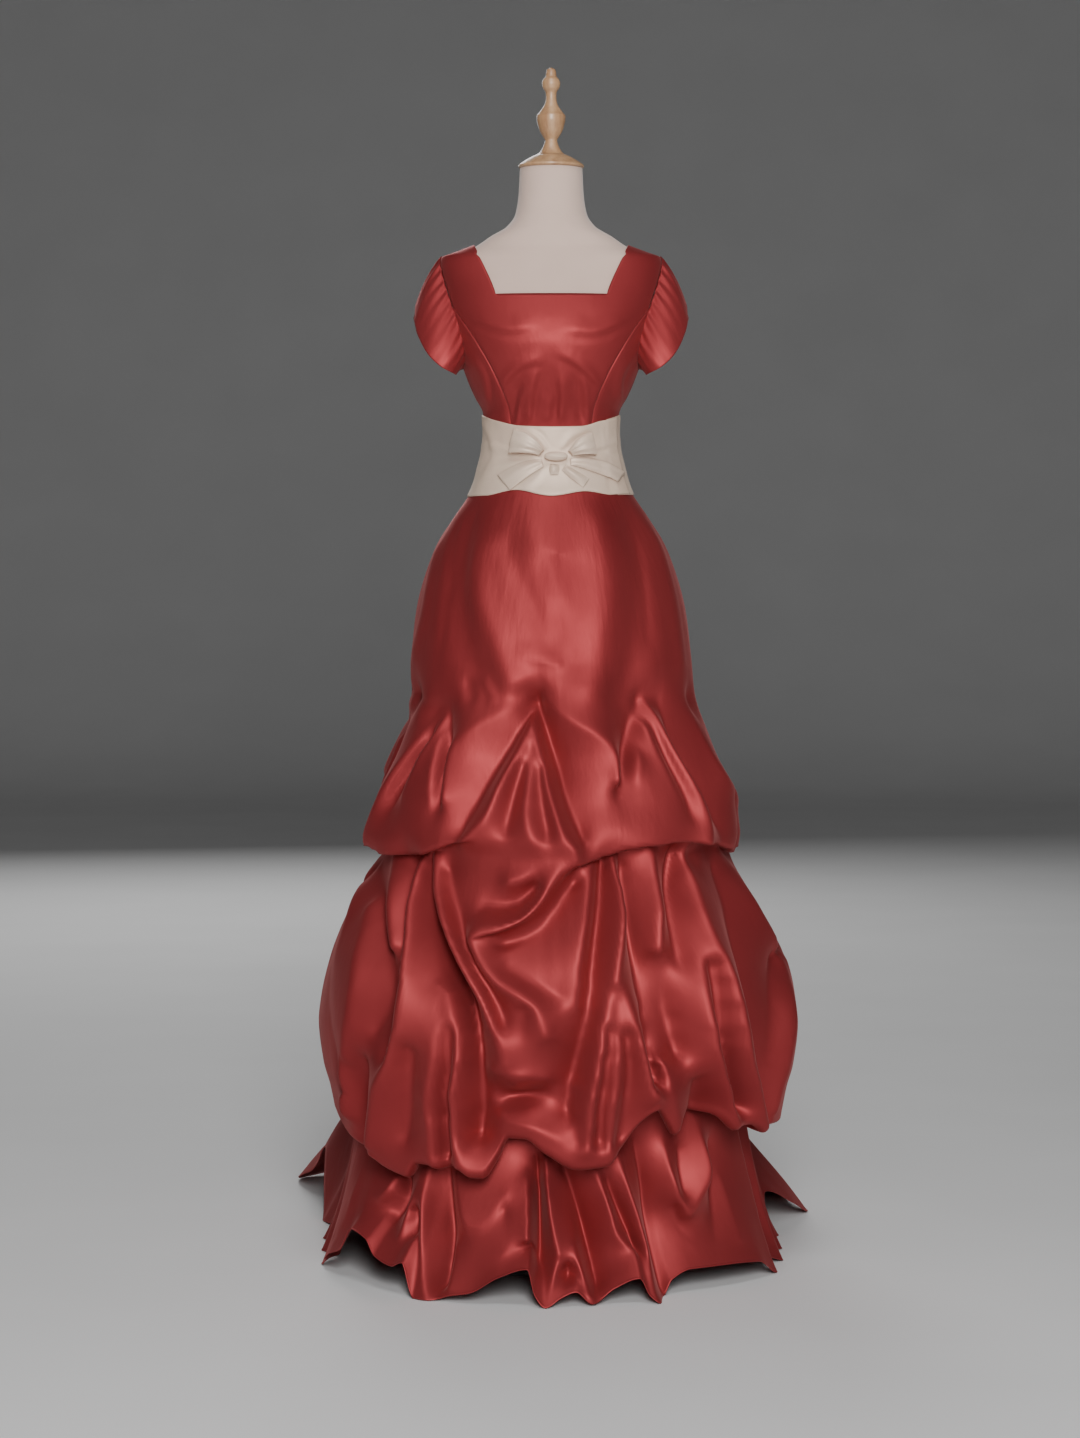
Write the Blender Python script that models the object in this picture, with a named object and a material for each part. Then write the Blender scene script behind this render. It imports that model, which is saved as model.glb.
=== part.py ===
"""A prom dress on a dress form: bodice, petal sleeves, sash with bow, picked-up overskirt, hem flounce.

Metres, +Z up. The origin is on the floor, on the axis of the form's pole. The dress faces -Y.
Every cloth piece is a thin wall whose outer face is a function of an angle round the body and a
height. Angle 0 is the centre front, +90 degrees is at +X and 180 degrees is the centre back.
"""

import math

import bpy
import numpy as np

# Driving sizes
WALL = 0.002  # bodice, overskirt and flounce cloth
SATIN = 0.0018  # sash band
RIBBON = 0.0012  # bow
SLEEVE = 0.0016
SEAM = 0.0003  # gap between two pieces sewn together
LAP = 0.0009  # gap below a piece that lies on another
SHOULDER_IN = 1.562  # height of the shoulder seam at the neck
NECK_CORNER = (0.084, 1.481)  # half width and height of the square neckline's corner
NECK_TOP = 0.118  # half width between the straps at the shoulder
BACK_NECK = 1.496
JUNCTION = 78  # place round the armhole where the princess seam meets it
SEAM_RING = 0.330  # height of the seam between overskirt and flounce
FLOOR_GAP = 0.0015

# Cloth outer face: height, half width, front depth, back depth, roundness exponent
TRUNK = [
    (1.575, 0.085, 0.058, 0.064, 0.90),
    (1.562, 0.118, 0.0635, 0.070, 0.90),
    (1.550, 0.150, 0.070, 0.077, 0.90),
    (1.543, 0.168, 0.074, 0.081, 0.90),
    (1.530, 0.1715, 0.081, 0.087, 0.90),
    (1.500, 0.168, 0.098, 0.094, 0.90),
    (1.470, 0.162, 0.112, 0.098, 0.90),
    (1.440, 0.154, 0.121, 0.099, 0.90),
    (1.410, 0.146, 0.125, 0.098, 0.90),
    (1.380, 0.137, 0.121, 0.095, 0.90),
    (1.350, 0.126, 0.112, 0.091, 0.90),
    (1.330, 0.117, 0.104, 0.087, 0.90),
    (1.304, 0.1045, 0.093, 0.083, 0.92),
    (1.274, 0.1030, 0.086, 0.081, 0.94),
    (1.250, 0.1050, 0.086, 0.083, 0.95),
    (1.220, 0.1120, 0.092, 0.092, 0.96),
    (1.190, 0.1210, 0.099, 0.104, 0.97),
    (1.143, 0.151, 0.120, 0.140, 1.0),
    (1.081, 0.182, 0.142, 0.185, 1.0),
    (1.004, 0.205, 0.165, 0.225, 1.0),
    (0.927, 0.216, 0.182, 0.255, 1.0),
    (0.881, 0.220, 0.192, 0.275, 1.0),
    (0.796, 0.246, 0.215, 0.310, 1.0),
    (0.727, 0.272, 0.245, 0.345, 1.0),
    (0.673, 0.282, 0.258, 0.365, 1.0),
    (0.642, 0.270, 0.250, 0.358, 1.0),
    (0.550, 0.313, 0.285, 0.405, 1.0),
    (0.473, 0.350, 0.312, 0.440, 1.0),
    (0.403, 0.367, 0.325, 0.465, 1.0),
    (0.373, 0.370, 0.328, 0.470, 1.0),
    (0.311, 0.363, 0.325, 0.470, 1.0),
    (0.273, 0.353, 0.320, 0.465, 1.0),
    (0.203, 0.342, 0.312, 0.455, 1.0),
    (0.150, 0.335, 0.308, 0.448, 1.0),
]

# Dress form: height, half width, front depth, back depth, roundness exponent
FORM = [
    (1.679, 0.0480, 0.046, 0.050, 1.0),
    (1.640, 0.0500, 0.048, 0.053, 1.0),
    (1.609, 0.0550, 0.052, 0.058, 0.98),
    (1.590, 0.0680, 0.056, 0.062, 0.95),
    (1.575, 0.0930, 0.057, 0.063, 0.90),
    (1.5585, 0.1180, 0.0600, 0.0660, 0.90),
    (1.5470, 0.147, 0.0655, 0.0725, 0.90),
    (1.5395, 0.159, 0.0695, 0.0765, 0.90),
    (1.525, 0.1605, 0.0775, 0.0815, 0.90),
    (1.500, 0.158, 0.092, 0.089, 0.90),
    (1.470, 0.157, 0.106, 0.093, 0.90),
    (1.440, 0.149, 0.115, 0.094, 0.90),
    (1.410, 0.141, 0.119, 0.093, 0.90),
    (1.380, 0.132, 0.115, 0.090, 0.90),
    (1.350, 0.120, 0.106, 0.086, 0.90),
    (1.330, 0.111, 0.098, 0.082, 0.90),
    (1.304, 0.0990, 0.087, 0.078, 0.92),
    (1.274, 0.0980, 0.081, 0.076, 0.94),
    (1.250, 0.0995, 0.081, 0.078, 0.95),
    (1.220, 0.106, 0.086, 0.086, 0.96),
    (1.190, 0.113, 0.092, 0.097, 0.97),
    (1.140, 0.127, 0.099, 0.110, 1.0),
    (1.060, 0.150, 0.106, 0.125, 1.0),
    (0.980, 0.155, 0.102, 0.120, 1.0),
    (0.930, 0.150, 0.096, 0.115, 1.0),
]
FORM_SIDES = 28

# Armhole: place (0 shoulder tip, 180 underarm), angle from the centre front or back, height
ARMHOLE = [
    (0, 90, 1.543),
    (20, 80, 1.527),
    (45, 74, 1.500),
    (70, 69.5, 1.474),
    (78, 68.5, 1.465),
    (100, 65.5, 1.442),
    (125, 65, 1.414),
    (150, 68.5, 1.389),
    (165, 76, 1.377),
    (180, 90, 1.372),
]
# Princess seam: height, half width at that height
PRINCESS = [
    (1.240, 0.057),
    (1.298, 0.063),
    (1.318, 0.068),
    (1.356, 0.084),
    (1.388, 0.101),
    (1.426, 0.124),
    (1.4449, 0.137),
]

# Folds: from (angle, height), through (angle, height), to (angle, height), rise, half width.
# A negative rise is a valley. Angles in degrees, the rest in metres.
FOLDS = [
    # upper tier, centre and wearer's right
    (-8, 0.856, -15, 0.765, -28, 0.672, 0.013, 0.018),
    (-6, 0.840, 0, 0.742, 6, 0.656, 0.016, 0.020),
    (-6, 0.818, -7, 0.730, -5, 0.640, 0.012, 0.017),
    (-1, 0.875, 11, 0.822, 22, 0.758, 0.015, 0.020),
    (37, 0.840, 30, 0.782, 22, 0.740, 0.013, 0.019),
    (-49, 0.848, -60, 0.765, -75, 0.665, 0.015, 0.021),
    (-44, 0.818, -51, 0.767, -57, 0.700, 0.011, 0.017),
    (-41, 0.799, -39, 0.754, -38, 0.705, 0.011, 0.016),
    # upper tier, wearer's left
    (44, 0.861, 47, 0.765, 51, 0.660, 0.015, 0.020),
    (60, 0.852, 64, 0.765, 76, 0.672, 0.014, 0.020),
    (75, 0.850, 84, 0.770, 96, 0.690, 0.013, 0.020),
    # lower tier
    (-47, 0.645, -36, 0.445, -47, 0.243, 0.021, 0.026),
    (-39, 0.647, -27, 0.545, -12, 0.405, 0.019, 0.024),
    (-31, 0.489, -20, 0.370, -18, 0.168, 0.018, 0.023),
    (-25, 0.370, -29, 0.290, -28, 0.195, 0.012, 0.017),
    (6, 0.656, -4, 0.575, -20, 0.526, 0.022, 0.024),
    (-20, 0.526, -13, 0.462, -2, 0.360, 0.022, 0.025),
    (-24, 0.590, -17, 0.556, -8, 0.560, -0.014, 0.018),
    (19, 0.648, 19, 0.560, 14, 0.450, 0.018, 0.022),
    (14, 0.450, 9, 0.340, 7, 0.215, 0.014, 0.020),
    (17, 0.440, 21, 0.345, 26, 0.285, 0.013, 0.019),
    (6, 0.502, 4, 0.420, 1, 0.320, 0.013, 0.018),
    (47, 0.622, 44, 0.460, 61, 0.230, 0.020, 0.025),
    (41, 0.520, 38, 0.400, 48, 0.242, 0.016, 0.021),
    (66, 0.645, 76, 0.600, 88, 0.530, 0.016, 0.022),
    (70, 0.600, 74, 0.440, 78, 0.260, 0.016, 0.024),
    (-64, 0.511, -62, 0.430, -60, 0.310, 0.016, 0.023),
    (-48, 0.420, -54, 0.360, -60, 0.300, 0.012, 0.018),
    (-87, 0.628, -82, 0.562, -74, 0.476, 0.016, 0.022),
    (-63, 0.585, -50, 0.500, -41, 0.395, -0.016, 0.022),
    (-80, 0.440, -78, 0.340, -82, 0.240, 0.015, 0.024),
    # smooth bell above the tiers
    (-64, 1.137, -55, 1.060, -50, 0.960, -0.006, 0.022),
    (-39, 1.120, -26, 1.000, -11, 0.888, 0.006, 0.024),
    (-26, 1.120, -19, 1.085, -13, 1.045, 0.004, 0.016),
    (-8, 1.120, -2, 1.050, 6, 0.985, -0.005, 0.018),
    (34, 1.090, 29, 1.010, 24, 0.935, -0.007, 0.026),
    (61, 1.121, 52, 1.050, 44, 0.965, -0.006, 0.022),
]
# Pick-up stitches that gather the overskirt: angle, height, depth, radius
TUCKS = [
    (-73, 0.872, 0.014, 0.030),
    (-50, 0.850, 0.015, 0.028),
    (-7, 0.868, 0.018, 0.032),
    (44, 0.872, 0.016, 0.030),
    (75, 0.866, 0.014, 0.030),
    (-86, 0.640, 0.014, 0.030),
    (-48, 0.648, 0.018, 0.030),
    (19, 0.655, 0.018, 0.030),
    (50, 0.640, 0.018, 0.030),
    (80, 0.648, 0.014, 0.030),
    (-18, 0.535, 0.012, 0.026),
    (110, 0.868, 0.016, 0.032),
    (146, 0.874, 0.018, 0.034),
    (-178, 0.868, 0.018, 0.034),
    (-143, 0.872, 0.018, 0.034),
    (-108, 0.864, 0.016, 0.032),
    (115, 0.640, 0.018, 0.034),
    (152, 0.652, 0.020, 0.036),
    (-172, 0.640, 0.020, 0.036),
    (-138, 0.652, 0.020, 0.036),
    (-112, 0.642, 0.018, 0.034),
]
BACK_FOLD_FROM = 100  # folds fall from the tucks behind this angle by rule
# Lips where the cloth blouses over a tuck line: angle, height
LEFT_LIP = [(-100, 0.652), (-88, 0.640), (-75, 0.658), (-60, 0.646), (-42, 0.652), (-28, 0.669)]
RIGHT_LIP = [(7, 0.641), (16, 0.648), (24, 0.659), (34, 0.668), (46, 0.672), (64, 0.655), (82, 0.641)]
BACK_LIP = [(82, 0.641), (100, 0.655), (115, 0.632), (133, 0.660), (152, 0.640), (170, 0.655)]
BACK_LIP += [(188, 0.634), (204, 0.662), (222, 0.642), (236, 0.660), (248, 0.634), (260, 0.652)]
LIP_OUT, LIP_IN = 0.016, 0.012

# Lower edge of the overskirt: angle, height. Raised points are where it is caught up.
OVERSKIRT_EDGE = [
    (-180, 0.215),
    (-160, 0.250),
    (-142, 0.205),
    (-122, 0.262),
    (-104, 0.205),
    (-86, 0.240),
    (-69, 0.198),
    (-50, 0.188),
    (-36, 0.196),
    (-21, 0.168),
    (-15, 0.250),
    (-5, 0.205),
    (7, 0.191),
    (15, 0.208),
    (24, 0.285),
    (31, 0.213),
    (38, 0.256),
    (51, 0.224),
    (63, 0.210),
    (86, 0.214),
    (106, 0.252),
    (124, 0.208),
    (143, 0.258),
    (162, 0.210),
    (180, 0.215),
]
# Rows of the overskirt down to its tiers, then a share of the way on to its lower edge
OVERSKIRT_ROWS = [1.2397, 1.214, 1.190, 1.172, 1.145, 1.090, 1.030, 0.960, 0.905, 0.870, 0.835]
OVERSKIRT_ROWS += [0.790, 0.745, 0.705, 0.672, 0.645, 0.610, 0.565, 0.520, 0.470, 0.420, 0.370]
EDGE_SHARES = (0.5, 1.0)
# From the lower edge the cloth turns in and up to the seam ring: share of the way, height added
TURN_IN = [(0.24, None), (0.75, -0.004), (1.0, 0.0)]
TURN_DROP = 0.001  # the first turned row is level, this far below the edge
FRONT_STEP, BACK_STEP = 5.5, 8.5  # degrees between columns
SIDE_SEAM = 99.0  # overskirt side seams lie just behind the sides

# Flounce: ellipse of its seam ring, then the hem as angle seen from above and radius
RING = (0.285, 0.255, 0.385)
FLOUNCE_HEM = [
    (-180, 0.780),
    (-163, 0.795),
    (-152, 0.785),
    (-146, 0.755),
    (-139, 0.600),
    (-125, 0.430),
    (-110, 0.365),
    (-90, 0.340),
    (-60, 0.342),
    (-30, 0.340),
    (0, 0.338),
    (30, 0.340),
    (60, 0.342),
    (90, 0.340),
    (108, 0.355),
    (119, 0.400),
    (130, 0.535),
    (143, 0.650),
    (156, 0.730),
    (168, 0.765),
    (180, 0.780),
]
# Flounce pleats: angle of the crest, how far it stands out, how far the next valley lifts off the floor
PLEATS = [
    (-176, 0.024, 0.010),
    (-163, 0.030, 0.012),
    (-147, 0.032, 0.100),
    (-127, 0.024, 0.014),
    (-111, 0.024, 0.018),
    (-97, 0.020, 0.022),
    (-81, 0.018, 0.026),
    (-64, 0.020, 0.034),
    (-42, 0.022, 0.020),
    (-31, 0.016, 0.034),
    (-16, 0.012, 0.040),
    (-1, 0.034, 0.018),
    (10, 0.020, 0.024),
    (26, 0.026, 0.030),
    (43, 0.016, 0.026),
    (58, 0.016, 0.022),
    (71, 0.022, 0.020),
    (85, 0.022, 0.018),
    (99, 0.026, 0.014),
    (113, 0.030, 0.060),
    (130, 0.026, 0.012),
    (143, 0.028, 0.010),
    (156, 0.024, 0.010),
    (169, 0.028, 0.010),
]
PLEAT_ROWS = (0.0, 0.25, 0.5, 0.75, 1.0)
# Folds that stand up towards the train's two tips: angle at the seam ring and at the hem, spread, rise
TIPS = [(-128, -141, 11, 0.100), (130, 130, 7, 0.045)]

# Sleeve hems on the wearer's left: place round the armhole, x, y, z. Front petal, then back petal.
FRONT_HEM = [
    (0, 0.207, 0.000, 1.466),
    (30, 0.2065, -0.028, 1.443),
    (60, 0.198, -0.050, 1.414),
    (90, 0.184, -0.066, 1.390),
    (120, 0.166, -0.070, 1.374),
    (145, 0.151, -0.062, 1.366),
    (165, 0.145, -0.038, 1.363),
    (180, 0.148, -0.002, 1.366),
]
BACK_HEM = [
    (0, 0.2138, 0.000, 1.4525),
    (30, 0.211, 0.030, 1.435),
    (60, 0.202, 0.052, 1.416),
    (90, 0.188, 0.064, 1.396),
    (120, 0.170, 0.066, 1.382),
    (145, 0.153, 0.058, 1.373),
    (165, 0.145, 0.036, 1.369),
    (180, 0.147, 0.002, 1.368),
]
PETAL_LAP = 50  # how far each petal runs past the shoulder tip
PETAL_TAPER = 0.24  # its length there, as a share
FRONT_SHARE = 0.85  # a front petal reaches this share of the back petal's length
SLEEVE_PUFF = 0.007
SLEEVE_CENTRE = (0.160, 0.0, 1.440)  # the petals swell away from here
PETAL_GAP = 0.0027  # how far a back petal lies inside the front one

# Sash edges: angle, top height, bottom height
SASH_EDGES = [
    (-180, 1.292, 1.180),
    (-90, 1.303, 1.177),
    (-50, 1.292, 1.178),
    (-25, 1.284, 1.186),
    (0, 1.2825, 1.177),
    (24, 1.2835, 1.184),
    (45, 1.292, 1.179),
    (90, 1.303, 1.180),
    (180, 1.292, 1.180),
]
SASH_STEP = 7.5
SASH_END = 67.5  # angle where the front band ends over the back band
SASH_LAP = 52.5  # angle where the back band ends below it

# Bow ribbons: from, through and to as (x, height), then half width and lift at root, middle and end
BOW = {
    "bow_loop_left": ((-0.0140, 1.2405), (-0.034, 1.2530), (-0.0570, 1.2600), (0.006, 0.016, 0.021)),
    "bow_loop_right": ((0.0275, 1.2400), (0.044, 1.2505), (0.0610, 1.2560), (0.005, 0.015, 0.019)),
    "bow_tail_left": ((-0.0125, 1.2260), (-0.040, 1.2155), (-0.0700, 1.1960), (0.006, 0.012, 0.015)),
    "bow_tail_right": ((0.0275, 1.2275), (0.064, 1.2225), (0.1010, 1.2050), (0.005, 0.010, 0.009)),
    "bow_tail_short": ((0.0185, 1.2195), (0.033, 1.2085), (0.0515, 1.1955), (0.005, 0.007, 0.008)),
    "bow_tongue": ((0.0050, 1.2240), (0.0045, 1.2170), (0.0045, 1.2080), (0.006, 0.0075, 0.006)),
}
BOW_REST, LOOP_REST = 0.0006, 0.0010  # gap below a flat ribbon and below a loop
LOOP_ROOT = 0.0036  # distance between a loop's two layers at the knot
LOOP_PUFF = {"bow_loop_left": 0.013, "bow_loop_right": 0.011}
KNOT_CENTRE = (0.0068, 1.2350)
KNOT_SIZE = (0.0175, 0.0058, 0.0075)

# Stand
CAP_RADIUS, CAP_THICKNESS = 0.051, 0.020
POLE_RADIUS = 0.016
BASE_RADIUS, BASE_THICKNESS = 0.150, 0.012
# Finial above the cap: height, radius
FINIAL = [
    (1.6996, 0.0225),
    (1.7080, 0.0142),
    (1.7217, 0.0093),
    (1.7310, 0.0148),
    (1.7433, 0.0195),
    (1.7570, 0.0220),
    (1.7664, 0.0162),
    (1.7760, 0.0100),
    (1.7879, 0.0080),
    (1.8075, 0.0140),
    (1.8203, 0.0078),
    (1.8321, 0.0010),
]

# Materials: colour as the eye sees it, roughness, metallic
FINISHES = {
    "cloth": ((0.56, 0.23, 0.22), 0.55, 0.0),
    "satin": ((0.80, 0.73, 0.68), 0.40, 0.0),
    "jersey": ((0.76, 0.69, 0.65), 0.85, 0.0),
    "wood": ((0.69, 0.57, 0.46), 0.45, 0.0),
    "steel": ((0.45, 0.45, 0.46), 0.35, 0.9),
}


def clear_scene():
    for obj in list(bpy.data.objects):
        bpy.data.objects.remove(obj, do_unlink=True)


def make_material(name):
    colour, roughness, metallic = FINISHES[name]
    material = bpy.data.materials.new(name)
    material.use_nodes = True
    shader = material.node_tree.nodes["Principled BSDF"]
    shader.inputs["Base Color"].default_value = (*[value**2.2 for value in colour], 1.0)
    shader.inputs["Roughness"].default_value = roughness
    shader.inputs["Metallic"].default_value = metallic
    return material


def make_object(name, points, faces, material):
    mesh = bpy.data.meshes.new(name)
    mesh.from_pydata([tuple(map(float, point)) for point in points], [], [tuple(map(int, f)) for f in faces])
    mesh.shade_smooth()
    mesh.set_sharp_from_angle(angle=math.radians(50))
    mesh.materials.append(material)
    obj = bpy.data.objects.new(name, mesh)
    bpy.context.collection.objects.link(obj)
    return obj


def smooth_table(at, table):
    """Every column of the table at these places, by the monotone cubic through its rows."""
    table = np.array(sorted(table), float)
    x, y = table[:, 0], table[:, 1:]
    step = np.diff(x)[:, None]
    slope = np.diff(y, axis=0) / step
    inner = np.where(
        slope[:-1] * slope[1:] > 0,
        2 * slope[:-1] * slope[1:] / np.where(slope[:-1] + slope[1:] == 0, 1, slope[:-1] + slope[1:]),
        0,
    )
    tangent = np.concatenate([slope[:1], inner, slope[-1:]])
    at = np.clip(np.asarray(at, float), x[0], x[-1])
    cell = np.clip(np.searchsorted(x, at, side="right") - 1, 0, len(x) - 2)
    width = step[cell]
    t = (at - x[cell])[..., None] / width
    low, high = y[cell], y[cell + 1]
    a, b = tangent[cell] * width, tangent[cell + 1] * width
    value = (
        (2 * t**3 - 3 * t**2 + 1) * low
        + (t**3 - 2 * t**2 + t) * a
        + (3 * t**2 - 2 * t**3) * high
        + (t**3 - t**2) * b
    )
    return np.moveaxis(value, -1, 0)


def power(value, exponent):
    return np.sign(value) * np.abs(value) ** exponent


def ring_point(angle, height, table):
    """Point of the section at a height: half width times sine, front or back depth times cosine."""
    half, front, back, exponent = smooth_table(height, table)
    turn = np.radians(angle)
    depth = np.where(np.cos(turn) > 0, front, back)
    x = half * power(np.sin(turn), exponent)
    y = -depth * power(np.cos(turn), exponent)
    return np.stack([x, y, np.broadcast_to(height, x.shape)], axis=-1)


def trunk_point(angle, height):
    return ring_point(np.asarray(angle, float), np.asarray(height, float), TRUNK)


def unit(vectors):
    return vectors / np.maximum(np.linalg.norm(vectors, axis=-1, keepdims=True), 1e-12)


def surface_normal(angle, height):
    """Outward normal of the cloth, from small steps along the section and up the body."""
    turn, rise = 0.4, 0.001
    along = trunk_point(angle + turn, height) - trunk_point(angle - turn, height)
    up = trunk_point(angle, height + rise) - trunk_point(angle, height - rise)
    return unit(np.cross(along, up))


def grid_normal(grid, closed):
    """Normals of a grid whose rows run down and whose columns run towards +X at the front."""
    down = np.gradient(grid, axis=0)
    if closed:
        along = np.roll(grid, -1, axis=1) - np.roll(grid, 1, axis=1)
    else:
        along = np.gradient(grid, axis=1)
    return unit(np.cross(down, along))


def angle_of(x, height):
    """Angle at which the section at a height has this x."""
    half, _, _, exponent = smooth_table(height, TRUNK)
    return np.degrees(np.arcsin(np.clip(power(x / half, 1 / exponent), -1, 1)))


def wall(name, outer, normal, material, keep=None, closed=False, thickness=WALL):
    """A cloth wall: a grid, the same grid one thickness further in, and a rim along each free edge."""
    rows, columns = outer.shape[:2]
    index = np.arange(rows * columns).reshape(rows, columns)
    beside = np.roll(index, -1, axis=1) if closed else index[:, 1:]
    start = index if closed else index[:, :-1]
    a, b, c, d = start[:-1], beside[:-1], beside[1:], start[1:]
    if keep is not None:
        a, b, c, d = a[keep], b[keep], c[keep], d[keep]
    a, b, c, d = (corner.reshape(-1) for corner in (a, b, c, d))
    points = outer.reshape(-1, 3)
    short = np.linalg.norm(points[a] - points[c], axis=1) < np.linalg.norm(points[b] - points[d], axis=1)
    first = np.where(short[:, None], np.stack([a, d, c], 1), np.stack([a, d, b], 1))
    second = np.where(short[:, None], np.stack([a, c, b], 1), np.stack([b, d, c], 1))
    faces = np.concatenate([first, second])
    across = np.cross(points[faces[:, 1]] - points[faces[:, 0]], points[faces[:, 2]] - points[faces[:, 0]])
    if (across * normal.reshape(-1, 3)[faces[:, 0]]).sum() < 0:
        faces = faces[:, ::-1]
    edges = np.concatenate([faces[:, [0, 1]], faces[:, [1, 2]], faces[:, [2, 0]]])
    there = {tuple(edge) for edge in edges}
    free = np.array([edge for edge in edges if (edge[1], edge[0]) not in there])
    count = rows * columns
    p, q = free[:, 0], free[:, 1]
    onward = (p < q)[:, None]
    low = np.where(onward, np.stack([q, p, p + count], 1), np.stack([q, p, q + count], 1))
    high = np.where(onward, np.stack([q, p + count, q + count], 1), np.stack([p, p + count, q + count], 1))
    rims = np.concatenate([low, high])
    everything = np.concatenate([faces, faces[:, ::-1] + count, rims])
    both = np.concatenate([points, points - thickness * normal.reshape(-1, 3)])
    used, compact = np.unique(everything, return_inverse=True)
    return make_object(name, both[used], compact.reshape(-1, 3), material)


def draw_in(grid, normal, *sides):
    """The grid with these edges drawn in by half a seam, square to the edge and along the cloth."""
    grid = grid.copy()
    edges = {
        "left": (np.s_[:, 0], np.s_[:, 1]),
        "right": (np.s_[:, -1], np.s_[:, -2]),
        "bottom": (np.s_[-1], np.s_[-2]),
    }
    for side in sides:
        edge, inside = edges[side]
        line = grid[edge].copy()
        square = unit(np.cross(normal[edge], np.gradient(line, axis=0)))
        inward = np.sign((square * (grid[inside] - line)).sum(axis=-1, keepdims=True))
        grid[edge] = line + square * inward * SEAM / 2
    return grid


# Bodice
WAIST_SHARE = 4 / 7  # how much of a front half's waist its inner columns take
GATHER_DEPTH, GATHERS = 0.0016, 11  # waves in the cloth above the sash, per radian
BUST_FOLD = (12, 6, 1.400, 0.035, 0.0022)  # angle, spread, height, spread, depth
BODICE_ROWS = [1.2403, 1.260, 1.282, 1.304, 1.328, 1.352, 1.376, 1.400, 1.424, 1.4449]
STRAP_PLACES = [66, 55, 44, 33, 23, 14, 6, 0]  # places round the armhole, junction to shoulder tip
SIDE_PLACES = [JUNCTION, 102, 124, 145, 163, 180]
INNER_CELLS, STRAP_CELLS = 3, 3


def armhole(place):
    """Angle and height on the body of a place round the armhole."""
    return smooth_table(place, ARMHOLE)


def bodice_edge():
    """Outer edge of a front or back panel: princess seam up to the armhole, then the armhole."""
    heights = np.array(BODICE_ROWS)
    halves = smooth_table(heights, PRINCESS)[0]
    angles = angle_of(halves, heights)
    junction_angle, junction_height = armhole(JUNCTION)
    strap_angles, strap_heights = armhole(np.array(STRAP_PLACES))
    angles = np.concatenate([angles, [junction_angle], strap_angles])
    heights = np.concatenate([heights, [junction_height], strap_heights])
    return angles, heights


def centre_panel(corner_height):
    """Angle and height grids of a half panel, centre to edge, waist to shoulder, and its rows below the neck."""
    edge_angle, edge_height = bodice_edge()
    rows = len(edge_angle)
    corner_row = len(BODICE_ROWS) + 1
    corner_angle = float(angle_of(NECK_CORNER[0], corner_height))
    inner_height = edge_height.copy()
    inner_height[corner_row - 1] = (edge_height[corner_row - 2] + corner_height) / 2
    fine_height = np.linspace(corner_height, SHOULDER_IN, 200)
    fine_half = np.linspace(NECK_CORNER[0], NECK_TOP, 200)
    fine_angle = angle_of(fine_half, fine_height)
    strap_angle = np.linspace(corner_angle, 90, rows - corner_row)
    inner_height[corner_row:] = np.interp(strap_angle, fine_angle, fine_height)
    inner_height[-1] = SHOULDER_IN
    share_corner = corner_angle / edge_angle[corner_row]
    rise = np.clip((edge_height - BODICE_ROWS[0]) / (corner_height - BODICE_ROWS[0]), 0, 1)
    inner_angle = edge_angle * (WAIST_SHARE + (share_corner - WAIST_SHARE) * rise)
    inner_angle[corner_row:] = strap_angle
    inward = np.linspace(0, 1, INNER_CELLS + 1)[:-1]
    outward = np.linspace(0, 1, STRAP_CELLS + 1)
    angle = np.concatenate(
        [inner_angle[:, None] * inward, inner_angle[:, None] + (edge_angle - inner_angle)[:, None] * outward],
        axis=1,
    )
    height = np.concatenate(
        [
            np.repeat(inner_height[:, None], INNER_CELLS, axis=1),
            inner_height[:, None] + (edge_height - inner_height)[:, None] * outward,
        ],
        axis=1,
    )
    for column in range(INNER_CELLS + 1, INNER_CELLS + STRAP_CELLS):
        share = (column - INNER_CELLS) / STRAP_CELLS
        half = NECK_CORNER[0] + (NECK_TOP - NECK_CORNER[0]) * strap_share(inner_height, corner_height)
        edge_half = trunk_point(edge_angle, edge_height)[:, 0]
        middle = angle_of(half * (1 - share) + edge_half * share, height[:, column])
        angle[corner_row:, column] = middle[corner_row:]
        angle[-1, column] = 90
    return angle, height, corner_row


def strap_share(height, corner_height):
    """Share of the way up a strap's inner edge."""
    return (height - corner_height) / (SHOULDER_IN - corner_height)


def bodice_relief(angle, height):
    """Soft gathers at the waist and two folds below the bust, as a distance outwards."""
    low = np.clip((1.38 - height) / 0.10, 0, 1)
    fade = low * np.clip((height - 1.295) / 0.03, 0, 1)
    gathers = GATHER_DEPTH * fade * np.cos(np.radians(angle) * GATHERS)
    turn, turn_spread, level, level_spread, depth = BUST_FOLD
    bust = depth * np.exp(-(((np.abs(angle) - turn) / turn_spread) ** 2) - ((height - level) / level_spread) ** 2)
    front = np.clip(np.cos(np.radians(angle)) * 2, 0, 1)
    return (gathers + bust) * front


def bodice_grid(angle, height):
    """Points and normals of the bodice's outer face."""
    normal = surface_normal(angle, height)
    return trunk_point(angle, height) + normal * bodice_relief(angle, height)[..., None], normal


def make_bodice_front(material):
    angle, height, corner_row = centre_panel(NECK_CORNER[1])
    angle = np.concatenate([-angle[:, :0:-1], angle], axis=1)
    height = np.concatenate([height[:, :0:-1], height], axis=1)
    points, normal = bodice_grid(angle, height)
    cells = np.arange(angle.shape[1] - 1)
    middle = (cells >= STRAP_CELLS) & (cells < STRAP_CELLS + 2 * INNER_CELLS)
    keep = ~(middle[None, :] & (np.arange(len(angle) - 1) >= corner_row)[:, None])
    wall("bodice_front", draw_in(points, normal, "left", "right", "bottom"), normal, material, keep)


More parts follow.
